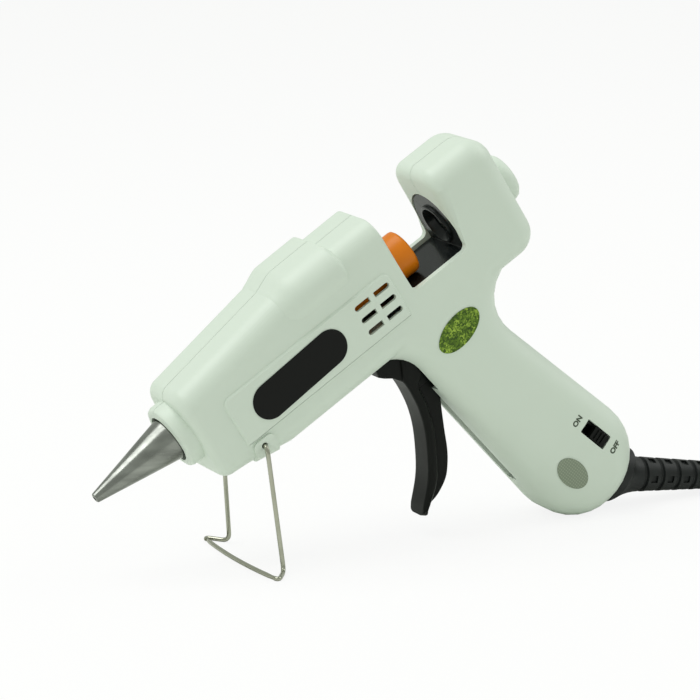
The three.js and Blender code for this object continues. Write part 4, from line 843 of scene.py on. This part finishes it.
def triggerLever(look):
    px, pz = housing["pivot"]

    def part(half, edge, segments, *runs):
        spots = [(px - p[0] * look["reach"], pz - p[1] * look["drop"]) for run in runs for p in run]
        return held(slab(spots, half, edge, segments))

    front, tip = through(look["front"]), look["tip"]
    rears = [through([tip[-1], *look[k]])[1:] for k in ("padRear", "webRear")]
    made = part(look["pad"], look["edge"], 5, look["padTop"], front, tip, rears[0], look["padRoot"])
    tools = [part(look["beak"], look["beakEdge"], 4, look["nose"], front[:1], look["beakRoot"]),
             part(look["web"], look["webEdge"], 3, look["nose"], front, tip, rears[1], look["webRoot"])]
    hubHalf, hub, bore = look["hub"]
    armHalf, armSide, armTop = look["arm"]
    slotHalf, slotLow, slotTop = look["fork"]
    arm = block(px - armHalf, px + armHalf, -armSide, armSide, pz, pz + armTop)
    slot = block(px - slotHalf, px + slotHalf, -9, 9, pz + slotLow, pz + slotTop)
    lean = turnedAt(px, pz, look["lean"]) @ Matrix.Translation((-px, 0, -pz))
    for bm in (arm, slot):
        bm.transform(lean)
    carve(made, "UNION", *tools, held(pin(px, pz, -hubHalf, hubHalf, hub, 48)), held(arm))
    low, radius, turn = look["end"]  # the end is rounded across its width
    across = look["pad"] + 0.05
    end = acrossGun(prism([(-across, 90), (-across, -low, radius), (across, -low, radius), (across, 90)], -70, 70))
    end.transform(turnedAt(px, pz, turn))
    carve(made, "INTERSECT", held(end))
    return carve(made, "DIFFERENCE", held(slot), held(pin(px, pz, -9, 9, bore)))


finished(triggerLever(trigger), "triggerLever", "blackAbs", ["trigger"], body="trigger", sharp=40)
print("feeder and trigger made")

# stand: one bent wire, its pins in the ears, two legs, a bowed foot; corners of the near half
stand = {"radius": 0.675, "bend": 2.6, "bow": 24.8,
         "half": [(23.977, 10.6, -1.762), (23.977, 14.9, -1.762), (27.677, 17.9, -38.683), (22.577, 24.8, -38.683),
                  (19.577, 0, -38.683)]}


def standWire(look):
    half = [Vector(p) for p in look["half"]]
    corners = half + [Vector((p.x, -p.y, p.z)) for p in reversed(half[:-1])]
    points = [corners[0]]
    for before, here, after in zip(corners, corners[1:], corners[2:]):
        bow, steps = (look["bow"], 14) if here.y == 0 else (look["bend"], 8)
        back, ahead = before - here, after - here
        enter = here + back.normalized() * min(bow, back.length - look["bend"])
        leave = here + ahead.normalized() * min(bow, ahead.length - look["bend"])
        for k in range(steps + 1):
            t = k / steps
            points.append(enter * (1 - t) ** 2 + here * 2 * t * (1 - t) + leave * t * t)
    points.append(corners[-1])
    return held(meshed(curveThrough("wire", "POLY", points, look["radius"], 4)))


finished(standWire(stand), "standWire", "brightWire", ["stand_wire"], standing, "stand", sharp=50)

# slide switch: ridged black slider in its window, standing at OFF
switch = {"centre": (109.658, -84.159), "turn": -71.4, "cap": (6.2, 4, 0.4), "capFaces": (-12.9, -11),
          "stem": (2.4, 2.4, 0.2), "stemFaces": (-11.2, -7.7),
          "ridge": (0.55, 3.3, 0.15), "ridgeFaces": (-13.3, -12.8), "ridges": (-1.4, 0, 1.4)}


def switchSlider(look):
    x, z = look["centre"]
    turn = math.radians(look["turn"])

    def part(key, segments, shift=0):
        at = (x + math.cos(turn) * shift, z + math.sin(turn) * shift)
        return held(prism(roundedRect(*at, *look[key], look["turn"]), *look[key + "Faces"], segments))

    return carve(part("cap", 4), "UNION", part("stem", 3), *[part("ridge", 3, shift) for shift in look["ridges"]])


finished(switchSlider(switch), "switchSlider", "blackAbs", ["switch_slider"], body="switch", rim=0.1)

# label and stickers: bare films on the flank, each with place, length, width and turn
films = {
    "label": (39.6, -3.5, 34.5, 11.2, 2.5), "labelFaces": (-13.8, -13.55), "lift": 0.05, "thick": 0.16,
    "foil": (88.2, -25.3, 16.5, 9.3, 12), "seal": (96.3, -87.7, 12.5, 8, -71.4), "from": -14.5,
    "letters": [("On", "ON", 106.1, -74.9), ("Off", "OFF", 112.4, -90.4)], "letter": 2.4, "bold": 0.11,
    "inkLift": 0.012, "inkThick": 0.02, "longest": 0.35,
}


def laidOn(piece, lift, thick):
    # presses a flat piece on the housing's skin along Y, then gives it its thickness
    wrap = piece.modifiers.new("wrap", "SHRINKWRAP")
    wrap.target = skinCopy
    wrap.wrap_method = "PROJECT"
    wrap.use_project_y = True
    wrap.use_positive_direction = True
    wrap.use_negative_direction = True
    bake(piece)
    piece.data.transform(Matrix.Translation((0, -lift, 0)))
    shell = piece.modifiers.new("shell", "SOLIDIFY")
    shell.thickness = thick
    shell.offset = 1
    return bake(piece)


def ovalFilm(x, z, length, width, turn):
    bm = bmesh.new()
    spokes = [bm.verts.new((k / 8, 0, 0)) for k in range(9)]
    edges = [bm.edges.new(pair) for pair in zip(spokes, spokes[1:])]
    bmesh.ops.spin(bm, geom=spokes + edges, cent=(0, 0, 0), axis=(0, 1, 0), angle=2 * math.pi, steps=56,
                   use_merge=True, use_duplicate=False)
    bmesh.ops.remove_doubles(bm, verts=bm.verts, dist=0.001)
    bmesh.ops.recalc_face_normals(bm, faces=bm.faces)
    if sum(f.normal.y for f in bm.faces) > 0:
        bmesh.ops.reverse_faces(bm, faces=bm.faces)
    bm.transform(turnedAt(x, z, -turn, films["from"]) @ Matrix.Diagonal((length / 2, 1, width / 2, 1)))
    return laidOn(asObject(bm), films["lift"], films["thick"])


def lettering(word, x, z):
    text = bpy.data.curves.new(word, "FONT")
    text.body = word
    text.size = films["letter"]
    text.align_x = text.align_y = "CENTER"
    text.offset = films["bold"]
    bm = meshed(shown(word, text))
    for _ in range(2):
        long = [e for e in bm.edges if e.calc_length() > films["longest"]]
        bmesh.ops.subdivide_edges(bm, edges=long, cuts=1, use_grid_fill=False)
        bmesh.ops.triangulate(bm, faces=bm.faces)
    bm.transform(turnedAt(x, z, -90 - switch["turn"], films["from"]) @ Matrix.Rotation(math.pi / 2, 4, "X"))
    return laidOn(asObject(bm), films["inkLift"], films["inkThick"])


x, z, long, wide, turn = films["label"]
label = held(prism(roundedRect(x, z, long, wide, wide / 2 - 0.05, turn), *films["labelFaces"], 24))
finished(label, "sideLabel", "labelFilm", ["info_label"], rim=0.08)
finished(ovalFilm(*films["foil"]), "foilSticker", "embossedFoil", ["foil_sticker"])
finished(ovalFilm(*films["seal"]), "sealSticker", "grainedSeal", ["seal_sticker"])
for name, word, x, z in films["letters"]:
    finished(lettering(word, x, z), "lettering" + name, "padInk")
print("switch, label and stickers made")


def bendRelief(look):
    first, pitch, depth, half = (look[k] for k in ("first", "pitch", "depth", "groove"))
    half, long, end = half / 2, look["length"], look["end"]

    def radiusAt(x):
        return look["radius"] + (end - look["radius"]) * (max(x - first, 0) / (long - first))

    profile = look["flare"][:]
    for k in range(look["grooves"]):
        x = first + pitch * k
        r = radiusAt(x)
        profile += [(x - half, r), (x - half + 0.3, r - depth + 0.15), (x - 0.2, r - depth), (x + 0.2, r - depth),
                    (x + half - 0.3, r - depth + 0.15), (x + half, r)]
    profile += [(long - 0.4, end + 0.05), (long, end - 0.35), (long, 0)]
    bm = turned(profile, 72, False)
    for v in bm.verts:  # the flare leans with the round of the heel
        swell = (math.hypot(v.co.y, v.co.z) - look["body"]) / look["swell"]
        v.co.x += look["lean"] * v.co.z * min(max(swell, 0), 1)
    bm.transform(toRelief)
    made = held(bm)
    carve(made, "DIFFERENCE", held(slab(grown(grip, 0.03), halfWidth + 0.03, housing["gripEdge"])))
    pockets = []
    wide, tall, deep = look["pocket"]
    for k in range(look["grooves"] - 1):
        x = first + pitch * (k + 0.5)
        r = radiusAt(x)
        for row in range(look["rows"]):
            hole = block(x - wide / 2, x + wide / 2, -r - 1, -r + deep, -tall / 2, tall / 2)
            angle = math.radians(look["rowStart"] + 360 / look["rows"] * row)
            hole.transform(toRelief @ Matrix.Rotation(angle, 4, "X"))
            pockets.append(held(hole))
    carve(made, "DIFFERENCE", *pockets)
    for operation, bm in (("UNION", turned(look["neck"], 48, False)), ("DIFFERENCE", rod(-12, long + 3, look["bore"]))):
        bm.transform(toRelief)
        carve(made, operation, held(bm))
    return made


finished(bendRelief(relief), "bendRelief", "softPvc", ["strain_relief"], rim=0.12)

# screws: pan heads with a cross recess, sunk in the right flank
screw = {"profile": [(-7, 0), (-7, 0.6), (-6.2, 1.2), (4.3, 1.2), (4.3, 2.5), (5.2, 2.5), (5.75, 2.15), (6.1, 1.4),
                     (6.1, 0)],
         "recess": (1.5, 0.3, 5.2, 7.1)}


def shellScrew(look, x, z):
    bm = turned(look["profile"], 40, False)
    bm.transform(Matrix.Translation((x, 0, z)) @ Matrix.Rotation(math.pi / 2, 4, "Z"))
    long, wide, low, high = look["recess"]
    return carve(held(bm), "DIFFERENCE", held(block(x - long, x + long, low, high, z - wide, z + wide)),
                 held(block(x - wide, x + wide, low, high, z - long, z + long)))


for i, (x, z) in enumerate(housing["screws"], 1):
    finished(shellScrew(screw, x, z), "shellScrew%d" % i, "brightWire", ["shell_screw_%d" % i])

# pieces inside: they keep their CAD shape and get their finish
inside = {
    "castAlloy": ["melt_chamber"], "stampedBrass": ["upper_electrode", "lower_electrode"],
    "firedCeramic": ["ptc_heater"], "amberFilm": ["heater_insulation"], "blackAbs": ["switch_body", "cord_clamp"],
    "softPvc": ["cord_inner"],
    "brightWire": ["sleeve_clip", "drive_pin", "clamp_pin", "clamp_lever", "trigger_pin", "return_spring",
                   "clamp_screw_1", "clamp_screw_2"],
    "blackSheath": ["lead_live", "lead_switched"], "blueSheath": ["lead_neutral"],
}
for material, names in inside.items():
    for name in names:
        coated(nodes[name], material)
print("relief, screws and inner pieces made")

# studio: white sweep, one broad lamp from above the nozzle's side, a weak one from the right
studio = {
    "floor": 6, "paper": "#F2F3F0", "white": (1, 1, 1, 1), "glow": 0.86,
    "dome": "#EFF5EC", "domePower": 0.66, "aim": (0, 0, 0.06),
    "lamps": {"key": ((-0.5, 0.15, 1.05), 0.8, 6.5), "side": ((0.9, -0.1, 0.75), 0.7, 2.5)},
}


def buildStudio(look):
    bm = bmesh.new()
    bmesh.ops.create_grid(bm, x_segments=1, y_segments=1, size=look["floor"])
    floor = held(bm, "floor")
    material, tree = newMaterial("paperSweep")
    paths = addNode(tree, "ShaderNodeLightPath")
    paper = addNode(tree, "ShaderNodeBsdfDiffuse", {"Color": linear(look["paper"])})
    glow = addNode(tree, "ShaderNodeEmission", {"Color": look["white"], "Strength": 1.0})
    seen = addNode(tree, "ShaderNodeMath", {0: paths.outputs["Is Camera Ray"], 1: look["glow"]}, operation="MULTIPLY")
    mixed = addNode(tree, "ShaderNodeMixShader", {0: seen.outputs[0], 1: paper.outputs[0], 2: glow.outputs[0]})
    addNode(tree, "ShaderNodeOutputMaterial", {"Surface": mixed.outputs[0]})
    floor.data.materials.append(material)
    world = bpy.data.worlds.new("studio")
    scene.world = world
    world.use_nodes = True
    tree = world.node_tree
    tree.nodes.clear()
    paths = addNode(tree, "ShaderNodeLightPath")
    straight = addNode(tree, "ShaderNodeMath", {
        0: paths.outputs["Is Camera Ray"], 1: paths.outputs["Is Transmission Ray"]}, operation="MAXIMUM")
    dome = addNode(tree, "ShaderNodeBackground", {"Color": linear(look["dome"]), "Strength": look["domePower"]})
    white = addNode(tree, "ShaderNodeBackground", {"Color": look["white"], "Strength": 1.0})
    mixed = addNode(tree, "ShaderNodeMixShader", {0: straight.outputs[0], 1: dome.outputs[0], 2: white.outputs[0]})
    addNode(tree, "ShaderNodeOutputWorld", {"Surface": mixed.outputs[0]})
    for name, (spot, size, power) in look["lamps"].items():
        lamp = bpy.data.lights.new(name, "AREA")
        lamp.size = size
        lamp.energy = power
        holder = shown(name, lamp)
        holder.location = spot
        holder.rotation_euler = (Vector(look["aim"]) - holder.location).to_track_quat("-Z", "Y").to_euler()


buildStudio(studio)
print("studio made")

bpy.data.objects.remove(skinCopy)
